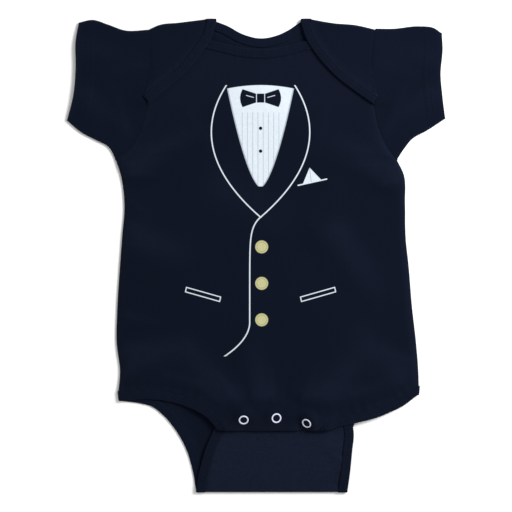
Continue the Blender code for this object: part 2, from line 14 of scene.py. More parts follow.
import bmesh
import bpy
import numpy as np
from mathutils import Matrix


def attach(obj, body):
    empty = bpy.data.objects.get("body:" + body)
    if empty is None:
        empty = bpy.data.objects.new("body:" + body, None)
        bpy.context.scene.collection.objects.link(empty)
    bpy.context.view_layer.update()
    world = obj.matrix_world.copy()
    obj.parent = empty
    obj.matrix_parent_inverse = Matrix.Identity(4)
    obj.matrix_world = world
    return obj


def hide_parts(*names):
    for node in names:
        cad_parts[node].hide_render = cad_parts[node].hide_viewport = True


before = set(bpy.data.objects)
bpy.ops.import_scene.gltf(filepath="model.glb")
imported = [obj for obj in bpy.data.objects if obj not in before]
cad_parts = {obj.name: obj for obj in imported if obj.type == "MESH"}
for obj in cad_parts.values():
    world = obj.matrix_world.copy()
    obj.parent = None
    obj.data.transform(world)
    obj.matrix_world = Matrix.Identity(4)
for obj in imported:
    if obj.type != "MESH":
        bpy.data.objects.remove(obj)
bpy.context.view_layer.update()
MM = 0.001
print("frame nodes:", len(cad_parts))

# %% [markdown]
# ## Camera and studio
#
# The garment is seen from straight above, with its neck at the top of the picture. A long lens from over a
# metre up keeps the outline free of perspective. The light is one large soft box over the upper right
# corner, so that creases have a bright and a dark side, and a weaker one opposite. The floor is a plain
# pale sheet.

# %% Camera
FRAME_WIDTH = 0.4506
LENS = 100.0
SENSOR = 36.0

camera_data = bpy.data.cameras.new("camera")
camera_data.lens = LENS
camera_data.sensor_width = SENSOR
camera = bpy.data.objects.new("camera", camera_data)
camera.location = (0.0, 0.0, FRAME_WIDTH * LENS / SENSOR)
bpy.context.scene.collection.objects.link(camera)
bpy.context.scene.camera = camera
print("camera height, m:", round(camera.location.z, 3))

# %% Floor, soft boxes and room light
FLOOR_HALF = 4.0
FLOOR_LEVEL = -0.0001
FLOOR_WHITE = 0.93
ROOM_LIGHT = 0.56


def soft_box(name, place, size, power):
    """A square area light that faces the middle of the garment."""
    lamp = bpy.data.lights.new(name, "AREA")
    lamp.size = size
    lamp.energy = power
    box = bpy.data.objects.new(name, lamp)
    box.location = place
    box.rotation_euler = (-box.location).to_track_quat("-Z", "Y").to_euler()
    bpy.context.scene.collection.objects.link(box)
    return box


soft_box("key_box", place=(0.85, 0.55, 0.95), size=0.6, power=24.0)
soft_box("fill_box", place=(-1.2, -0.9, 1.2), size=1.4, power=2.0)
room = bpy.data.worlds.new("room")
room.use_nodes = True
room.node_tree.nodes["Background"].inputs["Color"].default_value = (1.0, 1.0, 1.0, 1.0)
room.node_tree.nodes["Background"].inputs["Strength"].default_value = ROOM_LIGHT
bpy.context.scene.world = room
bpy.context.scene.view_settings.view_transform = "Standard"

floor_mesh = bpy.data.meshes.new("floor")
floor_corners = np.array([(-1, -1), (1, -1), (1, 1), (-1, 1)]) * FLOOR_HALF
floor_mesh.from_pydata([(x, y, FLOOR_LEVEL) for x, y in floor_corners], [], [(0, 1, 2, 3)])
floor = bpy.data.objects.new("floor", floor_mesh)
bpy.context.scene.collection.objects.link(floor)
print("stage: floor and 2 soft boxes")

# %% [markdown]
# ## The outlines
#
# These are the tables of the CAD part: seams, free edges and folds as a few points each, for the left and
# the right side as they lie. The two sides differ, as they do on a garment that was put down by hand.

# %% Layers and widths, in millimetres
PANEL = 0.9  # wall of the jersey panels, thinner than the solids'
BINDING = 1.8  # whole thickness of a rib binding, folded over a panel's edge
BINDING_WALL = 0.45
BAND_WIDTH = 8.0
TUCK = 0.9  # how far a panel runs into its binding
HIP_FLARE = 1.0

BACK_MID = 0.6
BACK_BAND_MID = 0.8
FRONT_MID = 2.1
FRONT_BAND_MID = 2.3
LAP_MID = 4.0
LAP_BAND_MID = 4.2
LEG_FRONT_MID = 2.7
FLAP_MID = 3.2
OVER_LEG_BAND = 0.4
OVER_FLAP = 2.4
TAB_MID = 7.0
OVER_SNAPS = TAB_MID - (FRONT_MID + OVER_LEG_BAND + OVER_FLAP)
BAND_LIFT = 0.1  # the bindings are thicker than the solids' bands, so they sit this much higher
MIDDLE_X = 4.0  # the garment's middle line

BODY_PUFF = 1.7
FLAP_BULGE = 1.0
SLEEVE_PUFF = 1.1
EDGE_ROUNDING = 13.0
SLEEVE_FOLD_RADIUS = 0.9
RING_OUTER = 4.35
RING_INNER = 3.1

Pair = namedtuple("Pair", "left_x right_x y")
Point = namedtuple("Point", "x y")
Fold = namedtuple("Fold", "x0 y0 x1 y1 width height")

# %% Outline tables
ARMHOLES = (
    Pair(-94.0, 104.5, 196.8),
    Pair(-92.0, 102.0, 168.0),
    Pair(-94.0, 103.0, 140.0),
    Pair(-101.0, 108.0, 112.0),
    Pair(-111.0, 115.5, 95.0),
    Pair(-123.0, 123.5, 84.5),
)
SIDES = (
    Pair(-123.0, 123.5, 84.5),
    Pair(-118.9, 129.6, 72.0),
    Pair(-115.5, 130.9, 46.0),
    Pair(-117.5, 131.5, 16.0),
    Pair(-119.3, 134.0, -8.0),
    Pair(-121.7, 137.2, -46.0),
    Pair(-122.3, 140.6, -76.0),
    Pair(-119.3, 142.6, -102.0),
)
HIPS = {"left": Point(-119.8, -118.8), "right": Point(142.1, -114.2)}

SHOULDER_FOLD_Y = 205.9
LAP_BAND_AT_FOLD = 9.2
LAP_END_Y = 133.0
LAP_END_BAND = 11.0
BACK_NECK = (
    Point(-35.0, SHOULDER_FOLD_Y),
    Point(-25.6, 202.3),
    Point(-12.0, 195.0),
    Point(4.0, 191.2),
    Point(18.0, 193.6),
    Point(30.4, 199.5),
    Point(39.4, SHOULDER_FOLD_Y),
)
LAP_EDGES = (
    Pair(-35.0, 39.4, SHOULDER_FOLD_Y),
    Pair(-39.0, 43.6, 192.0),
    Pair(-49.0, 53.0, 177.0),
    Pair(-64.0, 69.0, 159.0),
    Pair(-82.0, 88.0, 144.0),
)
SHOULDERS = {
    "left": (Point(-94.0, 196.8), Point(-85.0, 200.8), Point(-68.0, 202.8)),
    "right": (Point(104.5, 196.8), Point(88.0, 200.6), Point(68.0, 202.4)),
}
FRONT_BAND_END_Y = 190.0
FRONT_NECK = (
    Point(-75.0, 193.6),
    Point(-57.0, 193.4),
    Point(-40.4, 189.5),
    Point(-28.0, 186.5),
    Point(-14.0, 183.2),
    Point(4.0, 181.5),
    Point(22.0, 183.2),
    Point(35.0, 186.5),
    Point(46.0, 189.3),
    Point(62.0, 193.2),
    Point(82.0, 193.6),
)
SLEEVE_TOPS = {
    "left": (
        Point(-94.0, 198.8),
        Point(-115.0, 198.3),
        Point(-131.0, 203.8),
        Point(-144.0, 207.6),
        Point(-155.5, 205.2),
    ),
    "right": (
        Point(104.5, 199.8),
        Point(121.0, 199.8),
        Point(143.0, 202.0),
        Point(156.5, 200.4),
        Point(163.2, 195.8),
    ),
}
CUFFS = {
    "left": (
        Point(-155.5, 205.2),
        Point(-158.2, 190.0),
        Point(-158.3, 165.0),
        Point(-160.5, 140.0),
        Point(-166.0, 119.0),
    ),
    "right": (
        Point(163.2, 195.8),
        Point(163.8, 182.0),
        Point(162.0, 160.0),
        Point(163.6, 140.0),
        Point(166.2, 120.6),
    ),
}
UNDERARMS = {
    "left": (
        Point(-123.3, 84.5),
        Point(-129.6, 95.8),
        Point(-141.0, 102.0),
        Point(-154.0, 109.0),
        Point(-166.0, 119.0),
    ),
    "right": (
        Point(123.8, 84.5),
        Point(130.8, 95.0),
        Point(137.0, 102.6),
        Point(150.5, 110.4),
        Point(166.2, 120.6),
    ),
}
CROTCH_FOLD_Y = -205.7
TAB_END_Y = -153.0
FRONT_LEGS = {
    "left": (
        Point(-118.9, -127.2),
        Point(-100.0, -125.6),
        Point(-80.0, -127.0),
        Point(-61.0, -132.0),
        Point(-43.0, -141.5),
        Point(-33.0, TAB_END_Y),
    ),
    "right": (
        Point(141.4, -122.2),
        Point(129.5, -131.2),
        Point(118.0, -136.9),
        Point(108.0, -140.9),
        Point(88.0, -146.1),
        Point(73.0, -149.5),
        Point(62.0, TAB_END_Y),
    ),
}
BACK_LEGS = {
    "left": (
        Point(-118.9, -127.2),
        Point(-100.0, -129.8),
        Point(-92.0, -132.0),
        Point(-84.0, -137.6),
        Point(-72.0, -150.9),
        Point(-60.7, -171.0),
        Point(-55.4, -189.0),
        Point(-52.6, CROTCH_FOLD_Y),
    ),
    "right": (
        Point(141.4, -122.2),
        Point(127.0, -129.0),
        Point(110.0, -134.5),
        Point(97.0, -140.5),
        Point(87.0, -146.5),
        Point(84.2, -157.0),
        Point(81.3, -175.0),
        Point(80.2, CROTCH_FOLD_Y),
    ),
}
FLAP_SIDES = {
    "left": (
        Point(-52.6, CROTCH_FOLD_Y),
        Point(-49.0, -187.0),
        Point(-43.5, -168.0),
        Point(-36.5, -152.0),
        Point(-31.5, -142.0),
        Point(-29.5, -133.0),
    ),
    "right": (
        Point(80.2, CROTCH_FOLD_Y),
        Point(82.3, -190.0),
        Point(84.2, -171.0),
        Point(85.6, -155.0),
        Point(82.5, -142.0),
        Point(77.5, -133.0),
    ),
}
SNAPS = {"left": Point(-10.8, -143.1), "middle": Point(17.8, -141.7), "right": Point(44.3, -145.9)}
SIDE_NAMES = ("left", "right")
print("outline tables read,", len(SNAPS), "snaps")

# %% [markdown]
# ## Curves and patches
#
# A seam is a smooth curve through a few points. A piece of cloth between four such seams is a Coons patch:
# it blends the two curves that face each other, both ways, and takes away the blend of the four corners.
# Only the four edges have to be drawn, and the inside follows, evenly spaced.


# %% Curves through points
def walked(points):
    """The distance walked along a path, at each of its points."""
    return np.concatenate([[0], np.cumsum(np.linalg.norm(np.diff(points, axis=0), axis=1))])


def hermite(start, end, leave, arrive, share):
    """The cubic from start to end that leaves and arrives with these tangents."""
    return (
        (2 * share**3 - 3 * share**2 + 1) * start
        + (share**3 - 2 * share**2 + share) * leave
        + (3 * share**2 - 2 * share**3) * end
        + (share**3 - share**2) * arrive
    )


class Line:
    """A smooth plan curve through a few points, read by its share of length."""

    def __init__(self, points):
        knots = np.array([tuple(point)[:2] for point in points], float)
        chords = np.linalg.norm(np.diff(knots, axis=0), axis=1)
        slopes = np.diff(knots, axis=0) / chords[:, None]
        before, after = chords[:-1, None], chords[1:, None]
        middles = (slopes[:-1] * after + slopes[1:] * before) / (before + after)
        tangents = np.vstack([slopes[:1], middles, slopes[-1:]])
        share = np.linspace(0, 1, 24, endpoint=False)[:, None]
        spans = [
            hermite(knots[i], knots[i + 1], tangents[i] * chords[i], tangents[i + 1] * chords[i], share)
            for i in range(len(chords))
        ]
        self.samples = np.vstack([*spans, knots[-1:]])
        self.length = walked(self.samples)[-1]
        self.shares = walked(self.samples) / self.length

    def at(self, share):
        """The points at these shares of the length."""
        return np.stack([np.interp(share, self.shares, self.samples[:, axis]) for axis in (0, 1)], axis=-1)

    def stations(self, cells):
        """cells + 1 points, evenly spaced."""
        return self.at(np.linspace(0, 1, cells + 1))

    def normals_at(self, shares):
        """The unit normal to the left of travel at these shares of the length."""
        ahead = self.at(np.minimum(shares + 0.01, 1)) - self.at(np.maximum(shares - 0.01, 0))
        ahead /= np.linalg.norm(ahead, axis=1)[:, None]
        return np.stack([-ahead[:, 1], ahead[:, 0]], axis=1)

    def normals(self, cells):
        """The same, at each station."""
        return self.normals_at(np.linspace(0, 1, cells + 1))

    def at_height(self, y):
        """The point of a line that runs downwards where it passes this y."""
        return self.at(np.interp(-y, -self.samples[:, 1], self.shares))


def side_points(rows, side):
    """One side's column of a table of pairs, as points."""
    return [Point(row.left_x if side == "left" else row.right_x, row.y) for row in rows]


def outward_x(side):
    return -1.0 if side == "left" else 1.0


def armhole(side):
    return Line(side_points(ARMHOLES, side))


print("left armhole, mm:", round(armhole("left").length, 1))


# %% Patches between curves
def joined(*runs):
    """Runs of points end to end, with each shared end kept once."""
    return np.vstack([*(run[:-1] for run in runs[:-1]), runs[-1]])


def coons(top, bottom, left, right):
    """Plan points inside four edges: top and bottom run left to right, left and right run downwards."""
    u = np.linspace(0, 1, len(top))[None, :, None]
    v = np.linspace(0, 1, len(left))[:, None, None]
    between_rows = (1 - v) * top[None] + v * bottom[None]
    between_columns = (1 - u) * left[:, None] + u * right[:, None]
    corners = (1 - v) * ((1 - u) * top[0] + u * top[-1]) + v * ((1 - u) * bottom[0] + u * bottom[-1])
    return between_rows + between_columns - corners


def rise(share):
    """0 below 0, 1 above 1, and a smooth step between."""
    share = np.clip(share, 0, 1)
    return share * share * (3 - 2 * share)


def between(value, low, high, soft):
    """1 from low to high, falling smoothly to 0 over soft on each side."""
    return rise((value - low) / soft + 1) * rise((high - value) / soft + 1)


def fading(distance, reach):
    """1 at distance 0, falling like a bell to about a third at reach and 0 beyond."""
    return np.exp(-((distance / reach) ** 2))


def rounded(distance):
    """A quarter of an ellipse: 0 at an edge, 1 once the distance reaches EDGE_ROUNDING."""
    return np.sqrt(1 - (1 - np.clip(distance / EDGE_ROUNDING, 0, 1)) ** 2)


def lifted(plan, height):
    """Plan points with a height, as one array of x, y and z."""
    return np.concatenate([plan, np.broadcast_to(height, plan.shape[:-1])[..., None]], axis=-1)


def turned_over(edge, outward, low, high, cells=8):
    """Rows of a fold: an edge in plan carried round half circles from the height low to the height high.
    Each point of the edge may have its own heights and its own outward direction."""
    low, high = (np.broadcast_to(value, len(edge)) for value in (low, high))
    radius = ((high - low) / 2)[None]
    turns = np.radians(np.linspace(-90, 90, cells + 1))[:, None]
    reach = np.broadcast_to(np.asarray(outward, float), edge.shape)
    plan = edge[None] + (radius * np.cos(turns))[..., None] * reach[None]
    return lifted(plan, low[None] + radius * (1 + np.sin(turns)))


def nearest(plan, curve):
    """Distance from each plan point to a curve of points, and how far along it the nearest one lies."""
    flat = plan.reshape(-1, 2)
    along = walked(curve)
    squared = (flat**2).sum(1)[:, None] + (curve**2).sum(1)[None] - 2 * flat @ curve.T
    index = squared.argmin(axis=1)
    distance = np.sqrt(np.maximum(squared.min(axis=1), 0))
    return distance.reshape(plan.shape[:-1]), along[index].reshape(plan.shape[:-1])


# %% [markdown]
# ## From points to cloth
#
# Every piece is one or more grids of points. Their cells become faces, grid edges that meet are welded, and
# Solidify gives the wall its thickness to both sides, with a closed rim. A small Bevel takes the sharpness
# off the cut edges. Each point also carries a number for wear and painted light, which the fabric's colour
# reads: it is high along edges, where knit cloth rubs pale first, and on the crests of creases, where the
# paler colour is a painted highlight. Over the flap it is painted light.

# %% Mesh from grids
WELD = 0.02
CUT_EDGE = 0.25
garment = bpy.data.collections.new("bodysuit")
bpy.context.scene.collection.children.link(garment)


def hung(name, mesh, weld=0.0):
    """The garment's object of a mesh, with points nearer than weld joined and every face turned outwards."""
    bm = bmesh.new()
    bm.from_mesh(mesh)
    if weld:
        bmesh.ops.remove_doubles(bm, verts=bm.verts, dist=weld)
        bmesh.ops.dissolve_degenerate(bm, edges=bm.edges, dist=weld)
    bmesh.ops.recalc_face_normals(bm, faces=bm.faces)
    bm.to_mesh(mesh)
    bm.free()
    mesh.shade_smooth()
    piece = bpy.data.objects.new(name, mesh)
    garment.objects.link(piece)
    return piece


def sewn(name, grids, wear_and_light=None, uv=None, slots=None):
    """An object from grids of points in mm: a face per cell, its corners one row and one column apart.
    The third argument has a number for each point, for paler rubbed edges and for painted highlights and
    painted light; uv has a pair of numbers for each point, and slots a material number for each grid."""
    sizes = [grid.shape[0] * grid.shape[1] for grid in grids]
    starts = np.concatenate([[0], np.cumsum(sizes)[:-1]])
    faces = []
    for grid, start in zip(grids, starts):
        index = start + np.arange(grid.shape[0] * grid.shape[1]).reshape(grid.shape[:2])
        cell = (index[:-1, :-1], index[1:, :-1], index[1:, 1:], index[:-1, 1:])
        faces.append(np.stack(cell, axis=-1).reshape(-1, 4))
    points = np.vstack([grid.reshape(-1, 3) for grid in grids]) * MM
    corners = np.vstack(faces)
    mesh = bpy.data.meshes.new(name)
    mesh.from_pydata(points, [], corners.tolist())
    if wear_and_light is not None:
        wear_light_map = mesh.attributes.new("wear_and_light", "FLOAT", "POINT")
        wear_light_map.data.foreach_set("value", np.concatenate([w.reshape(-1) for w in wear_and_light]).astype(np.float32))
    if uv is not None:
        layer = mesh.uv_layers.new(name="cut")
        flat = np.vstack([pair.reshape(-1, 2) for pair in uv]) * MM
        layer.data.foreach_set("uv", flat[corners.reshape(-1)].reshape(-1))
    if slots is not None:
        numbers = np.concatenate([np.full(len(part), slot) for part, slot in zip(faces, slots)])
        mesh.polygons.foreach_set("material_index", numbers.astype(np.int32))
    return hung(name, mesh, WELD * MM)


def face_up(piece):
    """Turns a sheet's faces to look up, so that its first material lies on the outer side."""
    bm = bmesh.new()
    bm.from_mesh(piece.data)
    if sum(face.normal.z for face in bm.faces) < 0:
        bmesh.ops.reverse_faces(bm, faces=bm.faces)
    bm.to_mesh(piece.data)
    bm.free()
    return piece


def walled(piece, thickness, back_slot=0):
    """Gives a surface this thickness in mm. Its hidden side reads the material slot back_slot further on."""
    wall = piece.modifiers.new("wall", "SOLIDIFY")
    wall.thickness = thickness * MM
    wall.offset = 0.0
    wall.material_offset = back_slot
    wall.material_offset_rim = back_slot


def panel(piece, back_slot=0):
    """A sheet as a jersey panel: its wall, with the sharpness taken off the cut edges."""
    walled(piece, PANEL, back_slot)
    soft = piece.modifiers.new("soft_edge", "BEVEL")
    soft.width = CUT_EDGE * MM
    soft.segments = 2
    soft.limit_method = "ANGLE"
    soft.angle_limit = math.radians(60)
    return piece


def area_of(grids):
    """The area of the grids in square metres: half the cross product of each cell's diagonals."""
    total = 0.0
    for grid in grids:
        one, other = grid[1:, 1:] - grid[:-1, :-1], grid[1:, :-1] - grid[:-1, 1:]
        total += np.linalg.norm(np.cross(one, other), axis=-1).sum() / 2
    return total * MM * MM


# %% [markdown]
# ## Creases
#
# Cotton jersey that is smoothed flat keeps a few long soft creases: fans from the armpits, drags from the
# snaps, and broad swells over the belly. Simulation would give some creases, but not in these places. So
# each one is a row of a table: a line, a width and a height, above 0 for a ridge and below 0 for a trough.
# Gathers beside a stretched binding are a wave along the seam that fades away from it.

# %% Crease tables
FRONT_FOLDS = (
    Fold(-112, 78, -66, 104, 11, 1.6),
    Fold(-110, 62, -74, 58, 9, -1.0),
    Fold(116, 74, 70, 100, 12, 1.5),
    Fold(112, 52, 78, 66, 9, -0.9),
    Fold(-108, 18, -68, 2, 12, 1.4),
    Fold(-108, -22, -76, -30, 10, -1.0),
    Fold(-110, -88, -64, -80, 11, 1.5),
    Fold(40, 8, 82, -44, 14, -1.1),
    Fold(70, 20, 104, -30, 13, 1.2),
    Fold(-22, -128, -58, -86, 11, 1.5),
    Fold(4, -122, -2, -84, 10, 1.2),
    Fold(58, -124, 92, -86, 12, 1.4),
    Fold(124, -104, 92, -66, 12, 1.1),
    Fold(-30, 60, 18, 30, 16, 0.8),
)
FINE_FRONT_FOLDS = (
    Fold(-116, 88, -84, 118, 4.5, 0.8),
    Fold(-117, 84, -72, 90, 4.0, -0.6),
    Fold(-114, 72, -82, 70, 3.5, 0.6),
    Fold(-112, 50, -92, 34, 5.0, 0.5),
    Fold(118, 88, 90, 120, 4.5, 0.7),
    Fold(119, 84, 80, 88, 4.0, -0.6),
    Fold(122, 66, 96, 58, 3.5, 0.6),
    Fold(126, 30, 100, 12, 5.0, -0.5),
    Fold(-62, 132, -40, 96, 5.5, 0.5),
    Fold(64, 134, 52, 92, 5.0, 0.5),
    Fold(-114, -52, -88, -58, 4.5, 0.6),
    Fold(-116, -104, -96, -88, 4.5, 0.7),
    Fold(132, -60, 108, -72, 4.5, -0.6),
    Fold(134, -92, 112, -84, 4.0, 0.6),
    Fold(-16, -132, -34, -104, 3.8, 0.7),
    Fold(-6, -130, -12, -98, 3.2, -0.5),
    Fold(14, -128, 12, -100, 3.4, 0.6),
    Fold(24, -128, 30, -96, 3.4, -0.6),
    Fold(40, -130, 52, -100, 3.6, 0.7),
    Fold(50, -132, 72, -108, 3.4, -0.5),
    Fold(44, -134, 28, -121, 3.6, -1.1),
    Fold(-50, -112, -82, -104, 4.0, 0.6),
    Fold(84, -120, 112, -112, 4.0, 0.6),
    Fold(-54, 20, -36, -20, 6.0, -0.4),
    Fold(58, -6, 46, 34, 6.0, 0.4),
)
BACK_FOLDS = (
    Fold(-112, 72, -70, 96, 9, 0.9),
    Fold(114, 70, 74, 98, 10, 0.9),
    Fold(-104, 10, -52, -14, 11, 0.8),
    Fold(104, -4, 60, 22, 10, 0.7),
    Fold(-30, 96, 8, 60, 12, 0.7),
    Fold(46, 70, 22, 12, 11, 0.6),
    Fold(-96, -70, -48, -90, 10, 0.8),
    Fold(112, -78, 70, -98, 10, 0.8),
    Fold(-12, -60, 20, -104, 12, 0.7),
)
SNAP_PUCKERS = (
    Fold(27, -126, 48, -136, 3.4, -0.9),
    Fold(12, -130, -4, -132, 3.0, -0.65),
    Fold(-8, -136, -18, -139, 2.6, -0.4),
)
FLAP_FOLDS = (
    Fold(-40, -200, -30, -166, 6, 0.5),
    Fold(-8, -202, 4, -172, 8, -0.5),
    Fold(30, -202, 36, -178, 7, 0.5),
    Fold(70, -200, 58, -170, 7, -0.5),
    Fold(76, -184, 60, -160, 5, 0.5),
)
LAP_FOLDS = (
    Fold(-90, 190, -60, 196, 5, -0.35),
    Fold(-88, 150, -60, 182, 6, 0.4),
    Fold(100, 188, 66, 196, 5, -0.35),
    Fold(98, 152, 70, 180, 6, 0.4),
)
SLEEVE_FOLDS = (
    Fold(-150, 140, -116, 108, 9, 1.4),
    Fold(-150, 184, -108, 176, 10, 0.9),
    Fold(152, 140, 120, 112, 9, 1.4),
    Fold(152, 176, 116, 182, 10, 0.8),
)
FINE_SLEEVE_FOLDS = (
    Fold(-118, 100, -140, 132, 4.5, -0.8),
    Fold(-112, 108, -124, 146, 4.0, 0.7),
    Fold(-104, 122, -108, 156, 4.5, -0.5),
    Fold(-100, 168, -134, 160, 5.0, 0.5),
    Fold(120, 100, 142, 130, 4.5, -0.7),
    Fold(116, 110, 130, 148, 4.0, 0.6),
    Fold(110, 124, 116, 158, 4.5, -0.5),
    Fold(108, 170, 140, 158, 5.0, 0.5),
)


# %% Crease formulas
def creases(plan, folds):
    """The summed height of the folds: each is a smooth ridge or trough round a line, fading along it."""
    total = np.zeros(plan.shape[:-1])
    for fold in folds:
        start = np.array([fold.x0, fold.y0], float)
        along = np.array([fold.x1, fold.y1], float) - start
        share = np.clip(((plan - start) @ along) / (along @ along), 0, 1)
        away = np.linalg.norm(plan - start - share[..., None] * along, axis=-1)
        total += fold.height * (1 - 0.6 * share) * fading(away, fold.width)
    return total


Wave = namedtuple("Wave", "period height reach")
GATHERS = {
    "front leg": Wave(9.5, 0.42, 11.0),
    "front neck": Wave(7.0, 0.16, 6.0),
    "front side": Wave(8.0, 0.2, 6.0),
    "back leg": Wave(10.0, 0.35, 9.0),
    "back neck": Wave(7.0, 0.15, 6.0),
    "lap band": Wave(8.0, 0.2, 7.0),
    "lap armhole": Wave(7.0, 0.14, 5.0),
    "flap side": Wave(9.0, 0.3, 9.0),
    "sleeve armhole": Wave(7.5, 0.2, 7.0),
}


def gathers(distance, along, place):
    """A wave along a seam, uneven in length and strength, that fades over its reach away from it."""
    period, height, reach = GATHERS[place]
    phase = 2 * np.pi * along / period + 1.3 * np.sin(along / (1.7 * period))
    strength = 0.62 + 0.38 * np.sin(along / (0.9 * period) + 1.0)
    return height * strength * np.sin(phase) * fading(distance, reach)


def swells(plan):
    """Broad uneven waves of a few tenths of a millimetre: three crossing sines, each bent by another."""
    x, y = plan[..., 0], plan[..., 1]
    long_wave = np.sin(x / 23 + 1.2 * np.sin(y / 47) + 0.6)
    cross_wave = np.sin((0.6 * x + y) / 19 + 0.9 * np.sin(x / 31))
    short_wave = np.sin((x - 0.7 * y) / 9.5 + 1.1 * np.sin(y / 22 + 2.0))
    return 0.24 * long_wave + 0.18 * cross_wave + 0.08 * short_wave


print("creases by hand:", len(FRONT_FOLDS + FINE_FRONT_FOLDS + BACK_FOLDS + FLAP_FOLDS + LAP_FOLDS))

# %% [markdown]
# ## Where the bindings run
#
# A binding is a strip of rib that is folded over a panel's raw edge and sewn down through both. In plan it
# is a band of constant width beside its free edge. The panels need these runs too, because they end inside
# them.

# %% Bands in plan
FRONT_LEG_CELLS = 62
TAB_CELLS = 60
BACK_LEG_CELLS = 56
NECK_CELLS = 48
LAP_CELLS = 28
FLAP_CELLS = 48
ARMHOLE_CELLS = 50
SIDE_CELLS = 110


def strip(line, inward, cells, first, last):
    """A band in plan: rows of a free edge point and an inner edge point. first and last are its end rows."""
    edge = line.stations(cells)
    inner = edge + BAND_WIDTH * inward * line.normals(cells)
    edge[0], inner[0] = first
    edge[-1], inner[-1] = last
    return np.stack([edge, inner], axis=1)


def tucked(rows):
    """Where a panel ends inside a band: TUCK short of the band's inner edge."""
    across = rows[:, -1] - rows[:, 0]
    return rows[:, -1] - TUCK * across / np.linalg.norm(across, axis=1)[:, None]


def tucked_leg(rows):
    """The same in a leg binding, carried on at the hip to be as wide as the binding's own fold."""
    edge = tucked(rows)
    onward = edge[0] - edge[1]
    edge[0] += HIP_FLARE * onward / np.linalg.norm(onward)
    return edge


def leg_runs(side):
    """The three flat runs of one leg band in plan: on the front, on the back and on the flap."""
    inward = -outward_x(side)
    level = np.array([BAND_WIDTH * inward, 0])
    hip = (FRONT_LEGS[side][0], HIPS[side])
    tab = np.array(FRONT_LEGS[side][-1])
    fold = np.array(BACK_LEGS[side][-1])
    end = np.array(FLAP_SIDES[side][-1])
    front = strip(Line(FRONT_LEGS[side]), inward, FRONT_LEG_CELLS, hip, (tab, tab + level))
    back = strip(Line(BACK_LEGS[side]), inward, BACK_LEG_CELLS, hip, (fold, fold + level))
    flap = strip(Line(FLAP_SIDES[side]), -inward, FLAP_CELLS, (fold, fold + level), (end, end + level))
    return front, back, flap


def back_neck_run():
    """The back's neck band in plan, between its two shoulder folds."""
    first, last = np.array(BACK_NECK[0]), np.array(BACK_NECK[-1])
    level = np.array([LAP_BAND_AT_FOLD, 0])
    return strip(Line(BACK_NECK), -1, NECK_CELLS, (first, first - level), (last, last + level))


def lap_run(side):
    """The band along one lap in plan, from the shoulder fold to the armhole."""
    outward = outward_x(side)
    top = np.array(side_points(LAP_EDGES, side)[0])
    end = armhole(side).at_height(LAP_END_Y)
    inner_end = armhole(side).at_height(LAP_END_Y + LAP_END_BAND)
    line = Line([*side_points(LAP_EDGES, side), Point(*end)])
    first = (top, top + np.array([outward * LAP_BAND_AT_FOLD, 0]))
    return strip(line, outward, 2 * LAP_CELLS, first, (end, inner_end))


def front_neck_run():
    """The front's neck band in plan, from armhole to armhole."""
    lines = [armhole(side) for side in SIDE_NAMES]
    heights = (FRONT_BAND_END_Y, FRONT_BAND_END_Y - BAND_WIDTH)
    ends = [tuple(line.at_height(y) for y in heights) for line in lines]
    neck = Line([Point(*ends[0][0]), *FRONT_NECK, Point(*ends[1][0])])
    return strip(neck, -1, 2 * FRONT_LEG_CELLS + TAB_CELLS, *ends)


def side_seam(side, hip_edge, cells):
    return Line([*side_points(SIDES, side), Point(*hip_edge)]).stations(cells)


print("lap band, mm:", round(Line(side_points(LAP_EDGES, "left")).length, 1))

# %% [markdown]
# ## The front
#
# The front is one sheet from the neck binding to the snap tab. It is low where it is sewn or tucked under
# the laps, stands off the back over the belly, and climbs at the crotch: first over the flap, then over the
# snaps. At the side seams it dips to meet the back. Round each snap ring the cloth is pressed in. The rings
# lean by different amounts, the right-hand one most, and the cloth leans with them.

# %% Heights of the front
SIDE_DIP = 0.55
ARMHOLE_DIP = 0.3
DIP_REACH = 3.5
BAND_SWELL = 0.3  # a panel lies this much higher beside a binding
BAND_SWELL_REACH = 6.0
TAB_DROOP = 1.0
DROOP_REACH = 4.0
TAB_FACING = 0.35  # the tab's end is double cloth, and so this much higher
FACING_DEPTH = 15.0
FACING_EDGE = 1.2
LEAN_REACH = 5.2
LEAN_FADE = 4.0
MOAT_DEPTH = 0.3
MOAT_RADIUS = 5.8
MOAT_WIDTH = 1.8
RUB_REACH = 4.0  # how far from an edge the cloth is rubbed pale

Climb = namedtuple("Climb", "left_x right_x fade_x start_y fade_y")
FLAP_CLIMB = Climb(-46.0, 96.0, 24.0, -108.0, 20.0)
SNAP_CLIMB = Climb(-26.0, 60.0, 14.0, -120.0, 15.0)
Step = namedtuple("Step", "y fade")  # where a height along the garment starts to change, and over how far
LAPS_END = Step(170.0, 42.0)
LAPS_SLANT = 0.42
LEG_BAND_STEP = Step(-96.0, 16.0)
SIDE_GATHERS_STEP = Step(60.0, 30.0)
ARMHOLE_STEP = Step(76.0, 10.0)
SIDE_END_Y = -108.0
SIDE_TOP_Y = 72.0
# the front's colour turns paler from the chest up, over this step
CHEST_PALER_STEP = Step(100.0, 70.0)
# Degrees off level; the way down, in degrees anticlockwise from x; and how much higher the ring sits, in mm
Lean = namedtuple("Lean", "angle heading lift")
RING_LEANS = {
    "left": Lean(24.0, -86.0, 1.45),
    "middle": Lean(14.0, -35.0, 0.7),
    "right": Lean(37.0, -138.0, 2.8),
}


def way_down(lean):
    """The unit vector in plan towards which a snap leans."""
    heading = math.radians(lean.heading)
    return np.array([math.cos(heading), math.sin(heading)])


def above(y, step):
    """0 below a step, rising smoothly to 1 over its fade above it."""
    return rise((y - step.y) / step.fade)


def below(y, step):
    """The same downwards."""
    return rise((step.y - y) / step.fade)


def climbing(plan, climb):
    """1 where the front has climbed over what lies under it, and 0 round about."""
    x, y = plan[..., 0], plan[..., 1]
    return between(x, climb.left_x, climb.right_x, climb.fade_x) * rise((climb.start_y - y) / climb.fade_y)


def over_the_crotch(plan):
    """The front's climb over the flap and over the snaps, and the share of it that is over the snaps."""
    snaps = climbing(plan, SNAP_CLIMB)
    return OVER_FLAP * climbing(plan, FLAP_CLIMB) + OVER_SNAPS * snaps, snaps


